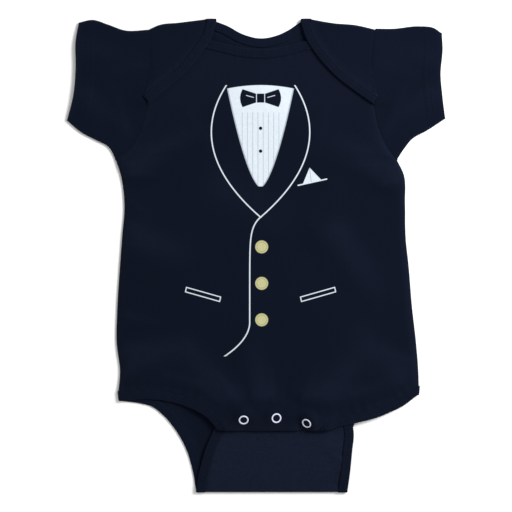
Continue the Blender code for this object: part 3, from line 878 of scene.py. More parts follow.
def pressed_by_rings(plan):
    """A shallow moat round each snap ring, and a raised slope under it, which fades beyond its rim."""
    total = np.zeros(plan.shape[:-1])
    for label, place in SNAPS.items():
        lean = RING_LEANS[label]
        offset = plan - np.array(place)
        away = np.linalg.norm(offset, axis=-1)
        slope = -(offset @ way_down(lean)) * math.tan(math.radians(lean.angle))
        past = np.maximum(away - LEAN_REACH, 0)
        total += (slope + lean.lift) * fading(past, LEAN_FADE)
        total -= MOAT_DEPTH * fading(away - MOAT_RADIUS, MOAT_WIDTH)
    return total


def front_edges():
    """The front's four plan edges: top, bottom, and the two sides as armhole and side seam."""
    runs = {side: tucked_leg(leg_runs(side)[0]) for side in SIDE_NAMES}
    top = tucked(front_neck_run())
    tab_end = Line([runs["left"][-1], runs["right"][-1]]).stations(TAB_CELLS)
    bottom = joined(runs["left"], tab_end, runs["right"][::-1])
    sides = []
    for side, corner in (("left", top[0]), ("right", top[-1])):
        seam = armhole(side)
        start = np.interp(-corner[1], -seam.samples[:, 1], seam.shares)
        sleeve_seam = seam.at(np.linspace(start, 1, ARMHOLE_CELLS + 1))
        sleeve_seam[0] = corner
        sides.append(joined(sleeve_seam, side_seam(side, runs[side][0], SIDE_CELLS)))
    return top, bottom, sides, runs


def front_grid():
    """The front as a grid of points, and its wear."""
    top, bottom, sides, runs = front_edges()
    plan = coons(top, bottom, *sides)
    x, y = plan[..., 0], plan[..., 1]
    below_laps = below(y + LAPS_SLANT * np.abs(x - MIDDLE_X), LAPS_END)
    to_sides = [nearest(plan, side) for side in sides]
    to_legs = [nearest(plan, runs[side]) for side in SIDE_NAMES]
    to_neck = nearest(plan, top)
    side_distance = np.minimum(to_sides[0][0], to_sides[1][0])
    leg_distance = np.minimum(to_legs[0][0], to_legs[1][0])
    to_edge = np.minimum(side_distance, nearest(plan, bottom)[0])
    climb, at_snaps = over_the_crotch(plan)
    free = below_laps * rounded(to_edge) * (1 - at_snaps)
    drawn = creases(plan, FRONT_FOLDS) + creases(plan, FINE_FRONT_FOLDS)
    body = np.maximum((BODY_PUFF + drawn + swells(plan)) * free, 0)
    seams = sum(gathers(*to_leg, "front leg") for to_leg in to_legs)
    seams = seams + gathers(*to_neck, "front neck")
    high_up = above(y, SIDE_GATHERS_STEP)
    seams = seams + sum(gathers(*to_side, "front side") * high_up for to_side in to_sides)
    at_legs = below(y, LEG_BAND_STEP)
    lift = BAND_SWELL * (1 - rise(np.minimum(leg_distance, to_neck[0]) / BAND_SWELL_REACH))
    dip = SIDE_DIP * between(y, SIDE_END_Y, SIDE_TOP_Y, 10) + ARMHOLE_DIP * above(y, ARMHOLE_STEP)
    dip = dip * (1 - rise(side_distance / DIP_REACH))
    height = FRONT_MID + OVER_LEG_BAND * at_legs + body + climb + seams + lift - dip + pressed_by_rings(plan)
    from_end = y - TAB_END_Y
    height = height + TAB_FACING * (1 - rise((from_end - FACING_DEPTH) / FACING_EDGE)) * at_snaps
    height = height + creases(plan, SNAP_PUCKERS) - TAB_DROOP * (1 - rise(from_end / DROOP_REACH)) * at_snaps
    # a painted highlight on the crests of the creases, and paler rubbed edges
    wear_and_light = 0.6 * np.clip(drawn, 0, 1) * free + 0.5 * fading(to_edge, RUB_REACH)
    return lifted(plan, height), wear_and_light + 0.3 * above(y, CHEST_PALER_STEP)


# %% The front panel
FRONT_POINTS, front_wear_and_light = front_grid()
cloth_front = panel(face_up(sewn("cloth_front", [FRONT_POINTS], [front_wear_and_light])), back_slot=1)
FRONT_AREA = area_of([FRONT_POINTS])
print("front:", FRONT_POINTS.shape, "area, m2:", round(FRONT_AREA, 4))

# %% [markdown]
# ## The back, its laps and its flap
#
# The back lies on the table. At the shoulders it is carried over the top fold and comes down over the front
# as two laps; at the crotch it is folded up over itself as the flap that takes the studs of the snaps. So
# it is one sheet made of seven grids: the back itself, three folds, two laps and the flap, welded along
# their edges.

# %% Heights of the back
FLAP_PAINTED_LIGHT = 1.2  # painted light: the flap and crotch fold are painted paler, as if they caught more light
FLAP_FOLD_STEP = Step(-205.0, 14.0)
FLAP_SNAP_STEP = Step(-156.0, 16.0)
FLAP_CLEAR_STEP = Step(-152.0, 8.0)
FLAP_SETTLED_STEP = Step(CROTCH_FOLD_Y, 6.0)
LAP_SWELL_STEP = Step(202.0, 6.0)
LAP_SETTLED_STEP = Step(203.0, 8.0)
BACK_FLAT_STEP = Step(-140.0, 30.0)  # the back lies flat below here, under the snaps


def flap_bulge(plan):
    """The flap is flat under the snaps, and rises a little between them and the crotch fold."""
    return FLAP_BULGE * above(plan[..., 1], FLAP_FOLD_STEP) * below(plan[..., 1], FLAP_SNAP_STEP)


def lap_grid(side, fold):
    """One lap in plan: below the shoulder fold, between the armhole and the lap's band."""
    band_edge = tucked(lap_run(side))
    band_edge[0] = fold[-1]
    seam = armhole(side)
    end = np.interp(-band_edge[-1][1], -seam.samples[:, 1], seam.shares)
    left = seam.at(np.linspace(0, end, LAP_CELLS + 1))
    left[-1] = band_edge[-1]
    right = band_edge[: LAP_CELLS + 1]
    bottom = Line([Point(*point) for point in band_edge[LAP_CELLS:][::-1]]).stations(BACK_LEG_CELLS)
    plan = coons(fold, bottom, left, right)
    to_band, along = nearest(plan, band_edge)
    to_seam, seam_along = nearest(plan, left)
    y = plan[..., 1]
    settled = below(y, LAP_SETTLED_STEP)
    drawn = creases(plan, LAP_FOLDS) * settled
    height = LAP_MID + BAND_SWELL * (1 - rise(to_band / BAND_SWELL_REACH)) * below(y, LAP_SWELL_STEP)
    height = height + drawn + gathers(to_band, along, "lap band") * settled
    height = height + gathers(to_seam, seam_along, "lap armhole") * settled
    height = height - ARMHOLE_DIP * (1 - rise(to_seam / DIP_REACH)) * settled
    # a paler rubbed edge beside the band, and a painted highlight on the crests of the creases
    return lifted(plan, height), 0.5 * fading(to_band, RUB_REACH) + 0.4 * np.clip(drawn, 0, 1)


def back_grids():
    """The back's seven grids and their wear."""
    neck = tucked(back_neck_run())
    runs = {side: leg_runs(side) for side in SIDE_NAMES}
    legs = {side: tucked_leg(runs[side][1]) for side in SIDE_NAMES}
    folds = {
        side: Line([*SHOULDERS[side], Point(*neck[0 if side == "left" else -1])]).stations(BACK_LEG_CELLS)
        for side in SIDE_NAMES
    }
    crotch = Line([legs["left"][-1], legs["right"][-1]]).stations(NECK_CELLS)
    top = joined(folds["left"], neck, folds["right"][::-1])
    bottom = joined(legs["left"], crotch, legs["right"][::-1])
    sides = [
        joined(armhole(side).stations(ARMHOLE_CELLS), side_seam(side, legs[side][0], SIDE_CELLS))
        for side in SIDE_NAMES
    ]
    plan = coons(top, bottom, *sides)
    to_legs = [nearest(plan, legs[side]) for side in SIDE_NAMES]
    to_neck, neck_along = nearest(plan, neck)
    leg_distance = np.minimum(to_legs[0][0], to_legs[1][0])
    to_edge = np.minimum.reduce([nearest(plan, edge)[0] for edge in (top, bottom, *sides)])
    inside = rounded(to_edge)
    resting = creases(plan, BACK_FOLDS) + 0.5 * np.abs(swells(plan))
    height = BACK_MID + np.maximum(resting, 0) * inside * above(plan[..., 1], BACK_FLAT_STEP)
    by_bands = 1 - rise(np.minimum(leg_distance, to_neck) / BAND_SWELL_REACH)
    height = height + BAND_SWELL * by_bands * inside
    seams = sum(np.abs(gathers(*to_leg, "back leg")) for to_leg in to_legs)
    height = height + (seams + np.abs(gathers(to_neck, neck_along, "back neck"))) * inside
    grids = [lifted(plan, height)]
    # paler rubbed edges, and a painted highlight on the crests of the creases it rests in
    wear_and_light = [0.5 * fading(to_edge, RUB_REACH) + 0.5 * np.clip(resting, 0, 1) * inside]
    for side in SIDE_NAMES:
        lap, lap_wear_and_light = lap_grid(side, folds[side])
        grids += [turned_over(folds[side], (0, 1), BACK_MID, LAP_MID), lap]
        wear_and_light += [np.full(grids[-2].shape[:2], 0.5), lap_wear_and_light]
    grids.append(turned_over(crotch, (0, -1), BACK_MID, FLAP_MID))
    # painted light: the crotch fold is painted as pale as the flap
    wear_and_light.append(np.full(grids[-1].shape[:2], FLAP_PAINTED_LIGHT))
    edges = [tucked(runs[side][2])[::-1] for side in SIDE_NAMES]
    flap_end = Line([edges[0][0], edges[1][0]]).stations(NECK_CELLS)
    flap = coons(flap_end, crotch, *edges)
    to_band = [nearest(flap, edge) for edge in edges]
    free = above(flap[..., 1], FLAP_SETTLED_STEP) * below(flap[..., 1], FLAP_CLEAR_STEP)
    drawn = (creases(flap, FLAP_FOLDS) + 0.7 * swells(flap)) * free
    band_waves = sum(gathers(*to_side, "flap side") for to_side in to_band) * free
    grids.append(lifted(flap, FLAP_MID + flap_bulge(flap) + drawn + band_waves))
    # painted light over the whole flap, and a painted highlight on its crease crests
    wear_and_light.append(FLAP_PAINTED_LIGHT + 0.3 * np.clip(drawn, 0, 1))
    return grids, wear_and_light


# %% The back panel
BACK_POINTS, back_wear_and_light = back_grids()
cloth_back = panel(sewn("cloth_back", BACK_POINTS, back_wear_and_light))
BACK_AREA = area_of(BACK_POINTS)
print("back:", len(BACK_POINTS), "grids, area, m2:", round(BACK_AREA, 4))

# %% [markdown]
# ## The sleeves
#
# A short sleeve laid flat is a flattened tube: a lower layer, an upper layer, a fold along the top and
# another along the underarm. The cuff is hemmed: its edge is turned in and held by two rows of stitches,
# which shows as a slightly raised strip. Beside the armhole the upper layer rises to the height of the lap
# it is sewn to.

# %% Heights of a sleeve
SLEEVE_LENGTH_CELLS = 56
SLEEVE_LAYER_CELLS = 60
HEM_DEPTH = 15.0
HEM_RISE = 0.32
HEM_EDGE = 1.0
TOP_SETTLES = 0.45  # share of the sleeve's length over which its top fold comes down from the lap
UNDER_SETTLES = 0.3
ARMHOLE_BLEND = 24.0
UNDER_LAP_STEP = Step(128.0, 10.0)


def sleeve_grids(side):
    """A sleeve's four grids and their wear: lower and upper layer, and the folds at the top and underarm."""
    outward = outward_x(side)
    seam, cuff_line = armhole(side), Line(CUFFS[side])
    top_line, under_line = Line(SLEEVE_TOPS[side]), Line(UNDERARMS[side])
    shares = np.linspace(0, 1, SLEEVE_LENGTH_CELLS + 1)
    flat_mid = BACK_MID + 2 * SLEEVE_FOLD_RADIUS
    by_the_lap = LAP_MID - ARMHOLE_DIP
    top_high = by_the_lap + (flat_mid - by_the_lap) * rise(shares / TOP_SETTLES)
    at_front = FRONT_MID - ARMHOLE_DIP
    under_high = at_front + (flat_mid - at_front) * rise(shares / UNDER_SETTLES)
    inner = seam.stations(SLEEVE_LAYER_CELLS) + np.array([0.1 * outward, 0])
    top_out = outward * top_line.normals_at(shares)
    under_out = -outward * under_line.normals_at(shares)
    top = top_line.at(shares) - ((top_high - BACK_MID) / 2 + PANEL / 2)[:, None] * top_out
    under = under_line.at(shares) - ((under_high - BACK_MID) / 2 + PANEL / 2)[:, None] * under_out
    corner = (SLEEVE_FOLD_RADIUS + PANEL / 2) / cuff_line.length
    cuff = cuff_line.at(np.linspace(corner, 1 - corner, SLEEVE_LAYER_CELLS + 1))
    top[0], top[-1] = inner[0], cuff[0]
    under[0], under[-1] = inner[-1], cuff[-1]
    layer = coons(inner, cuff, top, under)
    to_cuff, _ = nearest(layer, cuff)
    to_seam, seam_along = nearest(layer, inner)
    around = np.linspace(0, 1, SLEEVE_LAYER_CELLS + 1)[None]
    across = np.sin(np.pi * around) ** 0.7
    along = 0.35 + 0.65 * shares[:, None]
    drawn = creases(layer, SLEEVE_FOLDS) + creases(layer, FINE_SLEEVE_FOLDS)
    puff = np.maximum((SLEEVE_PUFF + drawn + 0.8 * swells(layer)) * across * along, 0)
    hem = HEM_RISE * (1 - rise((to_cuff - HEM_DEPTH) / HEM_EDGE))
    side_high = top_high[:, None] * (1 - rise(around * 2.2)) + under_high[:, None] * rise(around * 2.2)
    seam_high = at_front + (LAP_MID - FRONT_MID) * above(layer[..., 1], UNDER_LAP_STEP)
    blend = 1 - rise(to_seam / ARMHOLE_BLEND)
    upper_mid = side_high + (seam_high - side_high) * blend * across
    seam_waves = gathers(to_seam, seam_along, "sleeve armhole") * across
    edge_hold = np.minimum(1, across * 1.6)
    upper = lifted(layer, upper_mid + puff * (1 - 0.8 * blend) + (hem + seam_waves) * edge_hold)
    underside = np.maximum(creases(layer, SLEEVE_FOLDS), 0) * 0.35 * across * along
    lower = lifted(layer, BACK_MID + np.minimum(underside, 0.5))
    folds = [
        np.swapaxes(turned_over(edge, out, BACK_MID, high), 0, 1)
        for edge, out, high in ((top, top_out, top_high), (under, under_out, under_high))
    ]
    # a paler rubbed cuff, and a painted highlight on the crests of the creases
    wear_light_map = 0.5 * fading(to_cuff, 3) + 0.5 * np.clip(drawn, 0, 1) * across
    rims = [np.full(fold.shape[:2], 0.5) for fold in folds]
    return [lower, upper, *folds], [wear_light_map, wear_light_map, *rims]


# %% The two sleeves
cloth_sleeves, SLEEVE_POINTS = {}, {}
for side in SIDE_NAMES:
    SLEEVE_POINTS[side], sleeve_wear_and_light = sleeve_grids(side)
    cloth_sleeves[side] = panel(sewn(f"cloth_sleeve_{side}", SLEEVE_POINTS[side], sleeve_wear_and_light))
    print("sleeve", side, "area, m2:", round(area_of(SLEEVE_POINTS[side]), 4))

# %% [markdown]
# ## The bindings
#
# In cross-section a binding is a U: the rib comes up over the cut edge of the panel and down on its other
# side. The U is carried along the band's run. At the shoulders, hips and crotch the run itself turns over,
# so every station has a free edge point, an inner edge point and a direction that faces outwards, and the U
# is laid out between them. Its own texture map measures along the band and across it, because the ribs have
# to cross it squarely all the way round.

# %% Carrying a U along a run
Run = namedtuple("Run", "edge inner outer")  # free edge, inner edge and outward direction of each station

U_FLAT_CELLS = 7
U_TURN_CELLS = 8
RIB_SWELL = 0.1
RIB_WAVE = 0.07
RIB_WAVE_LENGTH = 9.2
END_OPENING = 0.45  # a binding's ends are pressed shut to this share of its thickness
END_LENGTH = 1.6


def level_run(rows, height, facing):
    """A flat stretch of band at a height, facing up for 1 and down for -1."""
    outer = np.broadcast_to(np.array([0.0, 0.0, facing]), (len(rows), 3))
    return Run(lifted(rows[:, 0], height[0]), lifted(rows[:, 1], height[1]), outer)


def fold_run(row, outward, low, high, cells=10):
    """The band carried over a fold at one row, from the height low up to the height high."""
    ends = turned_over(np.array(row), outward, low, high, cells)
    turns = np.radians(np.linspace(-90, 90, cells + 1))[:, None]
    outer = np.cos(turns) * np.array([*outward, 0.0]) + np.sin(turns) * np.array([0.0, 0.0, 1.0])
    return Run(ends[:, 0], ends[:, 1], outer)


def reverse(run):
    return Run(run.edge[::-1], run.inner[::-1], run.outer[::-1])


def chained(runs):
    """Runs end to end, with each shared station kept once."""
    return Run(*(joined(*(run[i] for run in runs)) for i in range(3)))


def binding(name, runs):
    """A U of rib along a chain of runs: point = edge + across the band + out of its face, round the U."""
    chain = chained(runs)
    half = (BINDING - BINDING_WALL) / 2
    width = np.linalg.norm(chain.inner - chain.edge, axis=1)[:, None]
    turns = np.radians(np.linspace(90, 270, U_TURN_CELLS + 1))
    flat = np.linspace(1, 0, U_FLAT_CELLS, endpoint=False)
    across = np.concatenate([flat, np.zeros(U_TURN_CELLS + 1), flat[::-1]])[None]
    turned = np.concatenate([np.zeros(U_FLAT_CELLS), np.cos(turns), np.zeros(U_FLAT_CELLS)])[None]
    lift = np.concatenate([np.ones(U_FLAT_CELLS), np.sin(turns), -np.ones(U_FLAT_CELLS)])[None]
    middles = (chain.edge + chain.inner) / 2
    along = walked(middles)[:, None]
    to_end = np.minimum(along, along[-1] - along)
    closing = END_OPENING + (1 - END_OPENING) * rise(to_end / END_LENGTH)
    swell = 1 + RIB_SWELL * np.sin(np.pi * across)
    waves = RIB_WAVE * np.sin(2 * np.pi * along / RIB_WAVE_LENGTH + 1.1 * np.sin(along / 14))
    reach = half + across * (width - half) + half * turned
    rim = half * lift * closing * swell + waves
    unit = (chain.inner - chain.edge) / width
    points = chain.edge[:, None] + reach[..., None] * unit[:, None] + rim[..., None] * chain.outer[:, None]
    round_u = walked(points[len(points) // 2])
    uv = np.stack(np.broadcast_arrays(along, round_u[None]), axis=-1)
    wear_light_value = np.broadcast_to(0.25 + 0.45 * np.abs(turned), points.shape[:2])
    piece = sewn(name, [points], [wear_light_value], [uv])
    walled(piece, BINDING_WALL)
    print(name, "length, mm:", round(float(along[-1, 0]), 1), "round the U:", round(float(round_u[-1]), 1))
    return piece, points, chain


# %% Neck bindings
shoulder_runs = {}
for side in SIDE_NAMES:
    lap_rows = lap_run(side)
    over = fold_run(lap_rows[0], (0, 1), BACK_BAND_MID + BAND_LIFT, LAP_BAND_MID + BAND_LIFT)
    lap_height = LAP_BAND_MID + BAND_LIFT
    shoulder_runs[side] = [over, level_run(lap_rows, (lap_height, lap_height), 1)]
neck_height = BACK_BAND_MID + BAND_LIFT
neck_run = level_run(back_neck_run(), (neck_height, neck_height), -1)
left_part = [reverse(run) for run in reversed(shoulder_runs["left"])]
neck_back, NECK_BACK_POINTS, neck_back_chain = binding(
    "binding_neck_back", [*left_part, neck_run, *shoulder_runs["right"]]
)
front_height = FRONT_BAND_MID + BAND_LIFT
neck_front, NECK_FRONT_POINTS, neck_front_chain = binding(
    "binding_neck_front", [level_run(front_neck_run(), (front_height, front_height), 1)]
)


# %% Leg bindings
def leg_chain(side):
    """The leg binding's runs: tab to hip, over the side, down the back, over the crotch, up the flap."""
    front, back, flap = leg_runs(side)
    climb, _ = over_the_crotch(front)
    heights = (LEG_FRONT_MID + BAND_LIFT + climb).T
    low, high = BACK_BAND_MID + BAND_LIFT, LEG_FRONT_MID + BAND_LIFT
    over_hip = fold_run(front[0], (outward_x(side), 0), low, high, 8)
    under = fold_run(back[-1], (0, -1), low, FLAP_MID + BAND_LIFT, 8)
    flap_heights = (FLAP_MID + BAND_LIFT + flap_bulge(flap)).T
    return [
        reverse(level_run(front, heights, 1)),
        reverse(over_hip),
        level_run(back, (low, low), -1),
        under,
        level_run(flap, flap_heights, 1),
    ]


leg_bindings, LEG_POINTS, leg_chains = {}, {}, {}
for side in SIDE_NAMES:
    made = binding(f"binding_leg_{side}", leg_chain(side))
    leg_bindings[side], LEG_POINTS[side], leg_chains[side] = made

# %% [markdown]
# ## Stitches
#
# Each stitch is a small capsule of thread, lying on the cloth with its ends sunk in. They are too many to
# place one by one, and too fine for a texture to give them a shadow, so one formula makes a whole row at
# once: it takes the stitches' middles, directions and outward directions, and lays the same capsule along
# each.

# %% A row of stitches
STITCH_LENGTH = 2.5
STITCH_STEP = 3.2
THREAD = 0.24
STITCH_SIDES = 5
TURN_SPAN = 0.6  # a stitch points from this far behind its middle to this far ahead
LOWEST_THREAD = THREAD / 2  # stitches on the underside are pressed into the cloth, which lies flat


def stitch_mesh(name, middles, ahead, outer):
    """All stitches of one piece: capsule rings across each stitch's own direction, as wide as the thread."""
    middles = np.maximum(middles, (-np.inf, -np.inf, LOWEST_THREAD))
    ahead = ahead / np.linalg.norm(ahead, axis=1)[:, None]
    aside = np.cross(outer, ahead)
    aside /= np.linalg.norm(aside, axis=1)[:, None]
    up = np.cross(ahead, aside)
    stations = np.array([-0.5, -0.42, 0.0, 0.42, 0.5]) * STITCH_LENGTH
    widths = np.array([0.05, 0.8, 1.0, 0.8, 0.05]) * THREAD
    sag = np.array([-0.3, -0.1, 0.12, -0.1, -0.3])
    angles = np.linspace(0, 2 * np.pi, STITCH_SIDES, endpoint=False)
    ring = (
        middles[:, None, None]
        + stations[:, None, None] * ahead[:, None, None]
        + (widths[:, None] * np.cos(angles))[..., None] * aside[:, None, None]
        + (widths[:, None] * np.sin(angles) + sag[:, None])[..., None] * up[:, None, None]
    )
    rings, sides = len(stations), STITCH_SIDES
    index = np.arange(rings * sides).reshape(rings, sides)
    ahead_index = np.roll(index, -1, axis=1)
    cell = (index[:-1], index[1:], ahead_index[1:], ahead_index[:-1])
    faces = np.stack(cell, axis=-1).reshape(-1, 4)
    step = rings * sides * np.arange(len(middles))[:, None, None]
    walls = (faces[None] + step).reshape(-1, 4)
    caps = np.stack([index[0], index[-1][::-1]]) + step
    mesh = bpy.data.meshes.new(name)
    mesh.from_pydata(ring.reshape(-1, 3) * MM, [], [*walls.tolist(), *caps.reshape(-1, sides).tolist()])
    print(name, "stitches:", len(middles))
    return hung(name, mesh)


def read_off(rows, along, where):
    """Rows of 3 numbers, given at the distances along, read at the distances where."""
    return np.stack([np.interp(where, along, rows[:, i]) for i in range(3)], axis=1)


def spaced(points, outer):
    """Stitch middles, directions and outward directions every STITCH_STEP along a path of points."""
    along = walked(points)
    wanted = np.arange(STITCH_STEP, along[-1] - STITCH_LENGTH, STITCH_STEP)
    ahead = read_off(points, along, wanted + TURN_SPAN) - read_off(points, along, wanted - TURN_SPAN)
    return read_off(points, along, wanted), ahead, read_off(outer, along, wanted)


def on_sheet(path, grid, out):
    """A plan path laid on a grid: its height is that of the four nearest points, weighed by nearness."""
    plan, heights = grid[..., :2].reshape(-1, 2), grid[..., 2].reshape(-1)
    squared = (path**2).sum(1)[:, None] + (plan**2).sum(1)[None] - 2 * path @ plan.T
    index = np.argpartition(squared, 4, axis=1)[:, :4]
    weights = 1 / (np.maximum(np.take_along_axis(squared, index, 1), 0) + 0.05)
    height = (heights[index] * weights).sum(1) / weights.sum(1)
    raised = lifted(path, height + out * (PANEL / 2 + THREAD / 2))
    return raised, np.broadcast_to(np.array([0.0, 0.0, out]), raised.shape)


# %% Stitches of the hems, the tab and the bindings
HEM_ROWS = (9.5, 14.2)  # distance of each row from the cuff
TAB_ROWS = (2.2, 17.4)  # and from the tab's end
BINDING_ROWS = (0.42, 0.84)  # share of the binding's width, from its free edge


def gathered_rows(rows):
    """Several rows of stitches as one set."""
    return [np.concatenate(part) for part in zip(*rows)]


def hem_stitches(side):
    """Two rows on each layer of a cuff, beside its edge."""
    cuff = Line(CUFFS[side])
    shares = np.linspace(0.03, 0.97, 90)
    inward = -outward_x(side) * cuff.normals_at(shares)
    rows = []
    for distance in HEM_ROWS:
        path = cuff.at(shares) + distance * inward
        for layer, out in ((0, -1), (1, 1)):
            rows.append(spaced(*on_sheet(path, SLEEVE_POINTS[side][layer], out)))
    return gathered_rows(rows)


def tab_stitches():
    """Two rows along the end of the snap tab."""
    left, right = (tucked(leg_runs(side)[0])[-1] for side in SIDE_NAMES)
    share = np.linspace(0.02, 0.98, 80)[:, None]
    level = left + share * (right - left)
    rows = []
    for distance in TAB_ROWS:
        spread = np.array([1 + 0.012 * distance, 1.0])
        middle = (left + right) / 2
        path = middle + (level - middle) * spread + np.array([0.0, distance])
        rows.append(spaced(*on_sheet(path, FRONT_POINTS, 1)))
    return gathered_rows(rows)


def binding_stitches(chain):
    """Two rows on the outer face of a binding, but none on its tight folds."""
    half = BINDING / 2
    rows = []
    for share in BINDING_ROWS:
        swell = half + 0.07 * math.sin(math.pi * share) + THREAD / 3
        path = chain.edge + share * (chain.inner - chain.edge) + swell * chain.outer
        middles, ahead, outer = spaced(path, chain.outer)
        flat = np.abs(outer[:, 2]) > 0.97
        rows.append((middles[flat], ahead[flat], outer[flat]))
    return gathered_rows(rows)


stitch_pieces = {}
for side in SIDE_NAMES:
    stitch_pieces[f"hem_{side}"] = stitch_mesh(f"stitches_hem_{side}", *hem_stitches(side))
    stitch_pieces[f"leg_{side}"] = stitch_mesh(f"stitches_leg_{side}", *binding_stitches(leg_chains[side]))
stitch_pieces["tab"] = stitch_mesh("stitches_tab", *tab_stitches())
stitch_pieces["neck_back"] = stitch_mesh("stitches_neck_back", *binding_stitches(neck_back_chain))
stitch_pieces["neck_front"] = stitch_mesh("stitches_neck_front", *binding_stitches(neck_front_chain))

# %% [markdown]
# ## Snap rings
#
# An open-ring snap shows a round enamelled rim with cloth in the middle. The rim is a closed profile turned
# about an axis: a rounded crown outside and a short inner wall. The cloth that fills it is a low dome. Each
# ring is tilted together with its cloth, because the tab curls.

# %% Turned rings
RING_SEGMENTS = 64
RING_CROWN = 0.95
RING_SINK = 0.15  # how far a ring is pressed into the cloth
RING_SEAT = TAB_MID + PANEL / 2 - RING_SINK
DOME_SHARES = np.array([0.0, 0.17, 0.37, 0.58, 0.78, 0.93, 1.0])
DOME_UNDER_RIM = 0.25


def turned_grid(radii, heights):
    """A profile of radius and height turned about the vertical: x = r cos a, y = r sin a, z = h."""
    angles = np.linspace(0, 2 * np.pi, RING_SEGMENTS + 1)
    x = radii[:, None] * np.cos(angles)
    y = radii[:, None] * np.sin(angles)
    return np.stack([x, y, np.broadcast_to(heights[:, None], x.shape)], axis=-1)


def ring_grids():
    """The rim as a closed profile, then the cloth dome inside it."""
    turn = np.radians(np.linspace(0, 360, 25))
    middle, half = (RING_OUTER + RING_INNER) / 2, (RING_OUTER - RING_INNER) / 2
    cosine, sine = np.cos(turn), np.sin(turn)
    radii = middle + half * np.sign(cosine) * np.abs(cosine) ** 0.8
    heights = RING_CROWN * (0.5 + 0.5 * np.sign(sine) * np.abs(sine) ** 0.8)
    dome_radii = DOME_SHARES * (RING_INNER + DOME_UNDER_RIM)
    dome = 0.16 + 0.3 * np.cos(np.pi * dome_radii / 6.8)
    return turned_grid(radii, heights), turned_grid(dome_radii, dome)


def leaned(grid, lean):
    """A grid turned about its own middle, so that the side that the snap leans towards goes down."""
    cosine, sine = math.cos(math.radians(lean.angle)), math.sin(math.radians(lean.angle))
    away = grid[..., :2] @ way_down(lean)
    shift = away * (cosine - 1) + grid[..., 2] * sine
    plan = grid[..., :2] + shift[..., None] * way_down(lean)
    return lifted(plan, -away * sine + grid[..., 2] * cosine)


snap_rings = {}
for label, place in SNAPS.items():
    lean = RING_LEANS[label]
    seat = np.array([place.x, place.y, RING_SEAT + lean.lift])
    placed = [leaned(grid, lean) + seat for grid in ring_grids()]
    snap_rings[label] = sewn(f"ring_{label}", placed, slots=[0, 1])
print("rings:", len(snap_rings), "across, mm:", 2 * RING_OUTER)

# %% [markdown]
# ## Finishes as recipes
#
# A material is a chain of nodes. Written node by node it is hard to read, so a small class lets an
# expression such as 1 - mask * 0.5 add the Math nodes it needs, and one method adds every other kind of
# node.


# %% Sockets as numbers
def math_node(operation):
    """A method of Signal that adds the Math node of one operation, and returns what it gives."""

    def method(signal, *others):
        return signal.recipe.node("Math", {"operation": operation}, dict(enumerate((signal, *others))))

    return method


class Signal:
    """A number that varies over a surface. Python's operators on it add Math nodes to its recipe."""

    def __init__(self, recipe, socket):
        self.recipe = recipe
        self.socket = socket

    __add__ = __radd__ = math_node("ADD")
    __sub__ = math_node("SUBTRACT")
    __mul__ = __rmul__ = math_node("MULTIPLY")
    __truediv__ = math_node("DIVIDE")
    __pow__ = math_node("POWER")
    __abs__ = math_node("ABSOLUTE")
    root = math_node("SQRT")
    sine = math_node("SINE")
    fraction = math_node("FRACT")
    exponential = math_node("EXPONENT")
    least = math_node("MINIMUM")
    most = math_node("MAXIMUM")

    def __rsub__(self, other):
        return self.recipe.node("Math", {"operation": "SUBTRACT"}, {0: other, 1: self})

    def squared(self):
        return self * self

    def within(self, low, high):
        return self.most(low).least(high)

    def step(self, start, end):
        """0 at start, 1 at end, smooth between; start may be the larger."""
        inputs = {"Value": self, "From Min": start, "From Max": end}
        return self.recipe.node("MapRange", {"interpolation_type": "SMOOTHSTEP"}, inputs)


class Recipe:
    """One material: node() adds a node of any kind, with its settings and what its sockets take."""

    def __init__(self, name, **constants):
        self.material = bpy.data.materials.new(name)
        self.material.use_nodes = True
        self.tree = self.material.node_tree
        self.shader = self.tree.nodes["Principled BSDF"]
        for socket, value in constants.items():
            self.shader.inputs[socket.replace("_", " ")].default_value = value

    def node(self, kind, settings=None, inputs=None, output=0):
        made = self.tree.nodes.new("ShaderNode" + kind)
        for key, value in (settings or {}).items():
            setattr(made, key, value)
        for key, value in (inputs or {}).items():
            self.feed(made.inputs[key], value)
        return Signal(self, made.outputs[output])

    def feed(self, socket, value):
        if isinstance(value, Signal):
            self.tree.links.new(value.socket, socket)
        else:
            socket.default_value = value

    def mix(self, factor, first, second):
        """A colour between two colours."""
        return self.node("Mix", {"data_type": "RGBA"}, {0: factor, 6: first, 7: second}, 2)

    def place(self):
        """The object's own coordinates."""
        return self.node("TexCoord", None, None, "Object")

    def noise(self, where, scale, detail=3.0):
        return self.node("TexNoise", None, {"Vector": where, "Scale": scale, "Detail": detail})

    def finish(self, colour=None, roughness=None, relief=None, depth=0.0001, strength=0.5):
        """Feeds the shader: its colour, its roughness, and a bump of this depth in metres."""
        if colour is not None:
            self.feed(self.shader.inputs["Base Color"], colour)
        if roughness is not None:
            self.feed(self.shader.inputs["Roughness"], roughness)
        if relief is not None:
            bump = self.node("Bump", None, {"Strength": strength, "Distance": depth, "Height": relief})
            self.feed(self.shader.inputs["Normal"], bump)
        return self.material


# %% [markdown]
# ## Navy jersey
#
# Plain jersey shows columns of V-shaped loops. A column is a hump across, and along it a wave repeats once
# per loop; shifting that wave by the distance from the column's middle bends each loop into a V. The dye is
# nearly even and a little mottled. Between the loops the colour is darker, a painted shade. It is paler
# where the number for wear and painted light is high: rubbed edges, painted highlights on the crests of
# creases, and painted light over the flap. The cloth has almost no gloss, only a faint bluish sheen at its
# edges.

# %% Knit cloth
WALE = 1.05
COURSE = 0.85
SLEEVE_GRAIN = math.radians(74)
NAVY = (0.0018, 0.0034, 0.0093, 1.0)
NAVY_LIGHT = (0.0034, 0.0056, 0.0148, 1.0)
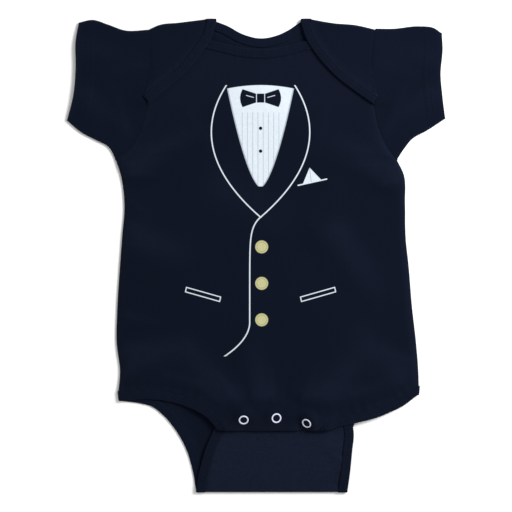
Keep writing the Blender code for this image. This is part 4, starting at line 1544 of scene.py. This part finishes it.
# the paler navy of rubbed wear, also used for painted highlights and painted light
NAVY_WORN_AND_LIT = (0.0090, 0.0130, 0.0280, 1.0)
CLOTH = {
    "Roughness": 0.9,
    "Specular_IOR_Level": 0.05,
    "Sheen_Weight": 0.035,
    "Sheen_Roughness": 0.45,
    "Sheen_Tint": (0.55, 0.66, 1.0, 1.0),
}


def millimetres(recipe, turn=0.0):
    """Object coordinates as x and y in mm, turned in plan, and the vector itself."""
    where = recipe.place()
    settings = {"Vector": where, "Rotation": (0.0, 0.0, turn), "Scale": (1000.0, 1000.0, 1000.0)}
    mapped = recipe.node("Mapping", None, settings)
    x = recipe.node("SeparateXYZ", None, {"Vector": mapped}, 0)
    y = recipe.node("SeparateXYZ", None, {"Vector": mapped}, 1)
    return x, y, where


def loops(x, y):
    """Height of the knit: humps one WALE apart, broken along each column into Vs one COURSE apart."""
    off_middle = abs((x / WALE).fraction() - 0.5) * 2
    wave = ((y / COURSE + off_middle * 0.5) * (2 * math.pi)).sine()
    return (1 - off_middle.squared()) * (0.7 + 0.3 * wave)


def dyed(recipe, where, knit):
    """The cloth's colour: mottled dye, painted shade between the loops, paler where it is rubbed, and
    painted highlights and painted light where the wear-and-light number marks them.
    """
    wear_light_value = recipe.node("Attribute", {"attribute_name": "wear_and_light"}, None, "Fac")
    broad = recipe.noise(where, 16.0)
    fine = recipe.noise(where, 420.0, 2.0)
    # the mottle is painted darker between the loops, a painted shade
    mottle = (broad * 0.7 + fine * 0.5 - 0.1) * (0.55 + 0.45 * knit)
    body = recipe.mix(mottle.within(0, 1), NAVY, NAVY_LIGHT)
    # towards the paler navy where rubbed, and as painted highlights on crease crests and painted light on
    # the flap
    return recipe.mix((wear_light_value * (0.1 + 0.5 * fine)).within(0, 0.6), body, NAVY_WORN_AND_LIT), fine


def jersey(name, turn=0.0):
    recipe = Recipe(name, **CLOTH)
    x, y, where = millimetres(recipe, turn)
    knit = loops(x, y)
    colour, fine = dyed(recipe, where, knit)
    relief = knit + fine * 0.6
    return recipe.finish(colour, 0.84 + 0.12 * fine, relief, 0.00016, 0.55)


plain_jersey = jersey("navy_jersey")
sleeve_jersey = {
    side: jersey(f"navy_jersey_sleeve_{side}", outward_x(side) * SLEEVE_GRAIN) for side in SIDE_NAMES
}
print("jersey: a loop is", WALE, "by", COURSE, "mm")

# %% [markdown]
# ## The print
#
# The front carries a flat screen print of a formal jacket: a pale bib with a bow tie, a shawl collar, one
# row of buttons, and pockets. It is a design of its own in the print's usual colours. Every line is a
# formula for the distance to it, so it stays sharp at any size. The garment's two halves share one formula,
# because it reads the distance from the middle, whichever side.

# %% Ink masks
INK_EDGE = 0.22
LINE_HALF = 0.55
INK_WHITE = (0.585, 0.645, 0.70, 1.0)
INK_SHADE = (0.35, 0.40, 0.46, 1.0)
INK_GOLD = (0.465, 0.455, 0.235, 1.0)
INK_GOLD_DARK = (0.32, 0.30, 0.14, 1.0)


def inked(distance, reach):
    """1 within reach of a line or dot and 0 outside, with the slightly soft edge of ink on cloth."""
    return distance.step(reach + INK_EDGE, reach - INK_EDGE)


def from_segment(x, y, start, end):
    """Distance to a straight piece: to its nearest point, which is start plus a share of the way to end."""
    run, climb = end[0] - start[0], end[1] - start[1]
    share = (((x - start[0]) * run + (y - start[1]) * climb) / (run * run + climb * climb)).within(0, 1)
    return ((x - start[0] - share * run).squared() + (y - start[1] - share * climb).squared()).root()


def from_dot(x, y, middle):
    return ((x - middle[0]).squared() + (y - middle[1]).squared()).root()


# %% Parts of the print
BIB_TOP, BIB_END, BIB_HALF = 150.0, 60.0, 30.0
SHAWL_END, SHAWL_BELLY = 34.0, 104.0
BOW = (0.0, 138.5)
BOW_HALF = 18.0
BUTTONS = ((1.0, 8.0), (1.0, -24.0), (1.0, -56.0))
BUTTON_RADIUS = 5.7
BIB_TOP_CURVE = 0.0035
PLEAT_WIDTH = 4.6
PLEAT_LINE = 0.3
PLEATS_HALF = 16.5
PLEATS_TOP = 126.0
RIM = 1.1
KNOT = (3.6, 4.3)
WING_FLARE = 0.34
WING_BEND = 0.035
STUD_YS = (112.0, 92.0)
STUD_RADIUS = 1.5
OVERLAP = 9.5
SWING_START, SWING_LENGTH, SWING_REACH = 92.0, 30.0, 22.0
FRONT_EDGE_END = -88.0
WELT = ((35.0, -36.0), (65.0, -27.5), (65.9, -31.4), (35.9, -39.9))
CHEST_LINE = ((37.0, 62.0), (62.0, 67.5))
POCKET_SQUARE = ((41.0, 62.9), (57.5, 66.5), (47.0, 77.5))


def bib_and_bow(y, aside):
    """Masks of the pale bib, of its shaded pleats, and of the bow tie on it."""
    up = ((y - BIB_END) / (BIB_TOP - BIB_END)).within(0, 1)
    half = up**0.62 * BIB_HALF
    below_top = inked(y + aside.squared() * BIB_TOP_CURVE - BIB_TOP, 0)
    bib = inked(aside - half, 0) * below_top * inked(BIB_END + 1 - y, 0)
    pleat = abs((aside / PLEAT_WIDTH).fraction() - 0.5) * PLEAT_WIDTH
    pleats = inked(pleat, PLEAT_LINE) * inked(aside, PLEATS_HALF) * inked(y - PLEATS_TOP, 0)
    rim = inked(half - aside - RIM, 0)
    drop = abs(y - BOW[1])
    flare = 2.6 + aside * WING_FLARE
    wing = inked(drop - flare, 0) * inked(aside + drop.squared() * WING_BEND - BOW_HALF, 0)
    knot_side = (aside - KNOT[0]).most(drop - KNOT[1])
    knot = inked(knot_side, 0)
    gap = inked(abs(knot_side), 0.32)
    crease = inked(from_segment(aside, y, (6.2, BOW[1] + 0.6), (12.5, BOW[1] + 2.4)), 0.28)
    bow = wing.most(knot) * (1 - gap) * (1 - crease)
    upper, lower = (inked(from_dot(aside, y, (0.0, stud_y)), STUD_RADIUS) for stud_y in STUD_YS)
    return bib, (pleats * 0.85).most(rim), bow.most(upper.most(lower))


def jacket_lines(x, y, aside):
    """Mask of the white lines: shawl collar, front edge and pockets."""
    length = BIB_TOP - SHAWL_END
    up = ((y - SHAWL_END) / length).within(0, 1)
    belly = up * BIB_HALF + up * (1 - up) * SHAWL_BELLY
    slant = (up * (-2 * SHAWL_BELLY) + (BIB_HALF + SHAWL_BELLY)) / length
    from_shawl = abs(aside - belly) / (slant.squared() + 1).root()
    shawl = inked(from_shawl, LINE_HALF) * inked(y - BIB_TOP, 0) * inked(SHAWL_END - 0.5 - y, 0)
    leaving = (BIB_HALF + SHAWL_BELLY) / length
    drop = SHAWL_END - y
    decay = (drop * (-leaving / OVERLAP)).exponential()
    swing = ((drop - SWING_START) / SWING_LENGTH).within(0, 1)
    edge_x = x - MIDDLE_X + (1 - decay) * OVERLAP + swing.squared() * SWING_REACH
    steep = ((decay * leaving).squared() + (swing * (2 * SWING_REACH / SWING_LENGTH)).squared() + 1).root()
    front_edge = inked(abs(edge_x) / steep, LINE_HALF) * inked(-0.4 - drop, 0) * inked(FRONT_EDGE_END - y, 0)
    lines = shawl.most(front_edge)
    for start, end in zip(WELT, WELT[1:] + WELT[:1]):
        lines = lines.most(inked(from_segment(aside, y, start, end), LINE_HALF * 0.8))
    return lines.most(inked(from_segment(x, y, *CHEST_LINE), LINE_HALF))


def beyond(x, y, start, end):
    """Signed distance to the right of the line from start to end."""
    run, climb = end[0] - start[0], end[1] - start[1]
    length = math.hypot(run, climb)
    return ((x - start[0]) * (climb / length)) - ((y - start[1]) * (run / length))


def pocket_square(x, y):
    """Masks of the folded square above the chest pocket, and of its shaded half."""
    first, second, tip = POCKET_SQUARE
    inside = beyond(x, y, first, second).most(beyond(x, y, second, tip)).most(beyond(x, y, tip, first))
    fold = inked(from_segment(x, y, (48.5, 64.8), tip), 0.35)
    return inked(inside, 0), fold


# %% Printed jersey
def printed_jersey():
    recipe = Recipe("navy_jersey_printed", **CLOTH)
    x, y, where = millimetres(recipe)
    knit = loops(x, y)
    cloth_colour, fine = dyed(recipe, where, knit)
    aside = abs(x - MIDDLE_X)
    bib, shaded, bow = bib_and_bow(y, aside)
    lines = jacket_lines(x, y, aside)
    square, square_fold = pocket_square(x, y)
    pale = (bib * (1 - bow)).most(lines).most(square)
    shade = (bib * shaded * (1 - lines)).most(square * square_fold)
    from_buttons = None
    for middle in BUTTONS:
        near = from_dot(x - MIDDLE_X, y, middle)
        from_buttons = near if from_buttons is None else from_buttons.least(near)
    button = inked(from_buttons, BUTTON_RADIUS)
    button_ring = inked(abs(from_buttons - BUTTON_RADIUS + 1.5), 0.35)
    button_rim = inked(BUTTON_RADIUS - 0.5 - from_buttons, 0) * 0.55
    thin = (0.90 + 0.2 * fine) * (0.86 + 0.14 * knit)
    ink = recipe.mix(shade, INK_WHITE, INK_SHADE)
    gold = recipe.mix((button_ring * 0.8).most(button_rim), INK_GOLD, INK_GOLD_DARK)
    colour = recipe.mix((pale * thin).within(0, 1), cloth_colour, ink)
    colour = recipe.mix((button * thin).within(0, 1), colour, gold)
    covered = pale.most(button)
    relief = knit * (1 - 0.6 * covered) + fine * 0.6 + covered * 0.5
    return recipe.finish(colour, (0.84 + 0.12 * fine) - covered * 0.3, relief, 0.00016, 0.55)


print_jersey = printed_jersey()
print("print nodes:", len(print_jersey.node_tree.nodes))

# %% [markdown]
# ## Rib, thread, enamel and metal
#
# Rib is knitted in raised columns that cross the binding, so its wave reads the distance along the band.
# Thread is twisted, which a slanted wave gives. The rings are white enamel over metal, slightly dulled by
# washing, and the hidden snap parts are brushed plain metal.

# %% Rib and thread
RIB = 1.7


def rib():
    recipe = Recipe("navy_rib", **CLOTH)
    cut = recipe.node("UVMap", {"uv_map": "cut"})
    where = recipe.place()
    along = recipe.node("SeparateXYZ", None, {"Vector": cut}, 0) * 1000
    across = recipe.node("SeparateXYZ", None, {"Vector": cut}, 1) * 1000
    ridge = (along * (2 * math.pi / RIB)).sine() * 0.5 + 0.5
    loop = (across * (2 * math.pi / COURSE) + ridge * 1.5).sine() * 0.5 + 0.5
    relief = ridge * 0.8 + loop * ridge * 0.3
    # painted shade: the colour is darker between the rib's ridges
    colour, fine = dyed(recipe, where, ridge)
    return recipe.finish(colour, 0.86 + 0.1 * fine, relief + fine * 0.3, 0.00022, 0.6)


def thread():
    recipe = Recipe("navy_thread", Roughness=0.85, Specular_IOR_Level=0.06)
    x, y, where = millimetres(recipe)
    ply = ((x + y) * (2 * math.pi / 0.32)).sine() * 0.5 + 0.5
    mottle = recipe.noise(where, 300.0)
    # painted shade: the colour follows the ply wave, darker in the grooves of the twist
    colour = recipe.mix((ply * 0.6 + mottle * 0.4).within(0, 1), NAVY, (0.0085, 0.0125, 0.0270, 1.0))
    return recipe.finish(colour, 0.75 + 0.2 * mottle, ply, 0.00005, 0.5)


rib_cloth = rib()
navy_thread = thread()
print("rib: a ridge every", RIB, "mm")


# %% Enamel and metal
def enamel():
    recipe = Recipe("white_enamel", Coat_Weight=0.4, Coat_Roughness=0.12, Specular_IOR_Level=0.5)
    where = recipe.place()
    cloudy = recipe.noise(where, 520.0)
    specks = recipe.noise(where, 2600.0, 1.0).step(0.66, 0.74)
    tint = recipe.mix(cloudy, (0.64, 0.68, 0.79, 1.0), (0.55, 0.59, 0.70, 1.0))
    colour = recipe.mix(specks * 0.25, tint, (0.30, 0.32, 0.37, 1.0))
    return recipe.finish(colour, 0.24 + 0.18 * cloudy, cloudy, 0.00004, 0.3)


def brushed_metal():
    recipe = Recipe("snap_metal", Metallic=1.0)
    where = recipe.place()
    grain = recipe.noise(where, 1400.0, 4.0)
    colour = recipe.mix(grain, (0.62, 0.62, 0.60, 1.0), (0.48, 0.48, 0.47, 1.0))
    return recipe.finish(colour, 0.3 + 0.2 * grain, grain, 0.00003, 0.3)


def floor_paper():
    recipe = Recipe("floor_paper", Roughness=0.9, Specular_IOR_Level=0.1)
    where = recipe.place()
    grain = recipe.noise(where, 60.0)
    pale = (FLOOR_WHITE,) * 3 + (1.0,)
    colour = recipe.mix(grain * 0.5, pale, (FLOOR_WHITE * 0.985,) * 3 + (1.0,))
    return recipe.finish(colour)


white_enamel, snap_metal = enamel(), brushed_metal()
floor.data.materials.append(floor_paper())
print("enamel and metal made")

# %% [markdown]
# ## Putting the pieces on the frame
#
# Every piece takes its material and rides on the frame's one body, and the CAD node it stands for is hidden.
# The snap parts between the layers stay as CAD made them, with a better finish. The area of each piece of
# cloth is worked out from its surface.

# %% Materials, bodies and slots
Dressed = namedtuple("Dressed", "piece materials slot nodes")

dressed = [
    Dressed(cloth_front, [print_jersey, plain_jersey], "jersey", ["front_panel"]),
    Dressed(cloth_back, [plain_jersey], "jersey", ["back_panel"]),
    Dressed(neck_back, [rib_cloth], "rib", ["back_neck_band"]),
    Dressed(neck_front, [rib_cloth], "rib", ["front_neck_band"]),
]
for side in SIDE_NAMES:
    dressed.append(Dressed(cloth_sleeves[side], [sleeve_jersey[side]], "jersey", [f"sleeve_{side}"]))
    dressed.append(Dressed(leg_bindings[side], [rib_cloth], "rib", [f"leg_band_{side}"]))
for label, ring in snap_rings.items():
    dressed.append(Dressed(ring, [white_enamel, plain_jersey], "snap_ring", [f"snap_{label}_front_ring"]))
for label, stitches in stitch_pieces.items():
    dressed.append(Dressed(stitches, [navy_thread], "rib" if "hem" not in label else "jersey", []))

for piece, materials, slot, nodes in dressed:
    for material in materials:
        piece.data.materials.append(material)
    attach(piece, "root")
    if nodes:
        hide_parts(*nodes)

for label in SNAPS:
    for part, material in (("back_ring", white_enamel), ("socket", snap_metal), ("stud", snap_metal)):
        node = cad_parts[f"snap_{label}_{part}"]
        node.data.materials.clear()
        node.data.materials.append(material)
print("pieces dressed:", len(dressed))

for side in SIDE_NAMES:
    area_of(SLEEVE_POINTS[side])
for piece, points, stitches, under in (
    (neck_back, NECK_BACK_POINTS, stitch_pieces["neck_back"], cloth_back),
    (neck_front, NECK_FRONT_POINTS, stitch_pieces["neck_front"], cloth_front),
    (leg_bindings["left"], LEG_POINTS["left"], stitch_pieces["leg_left"], cloth_back),
    (leg_bindings["right"], LEG_POINTS["right"], stitch_pieces["leg_right"], cloth_back),
):
    band_area = area_of([points])
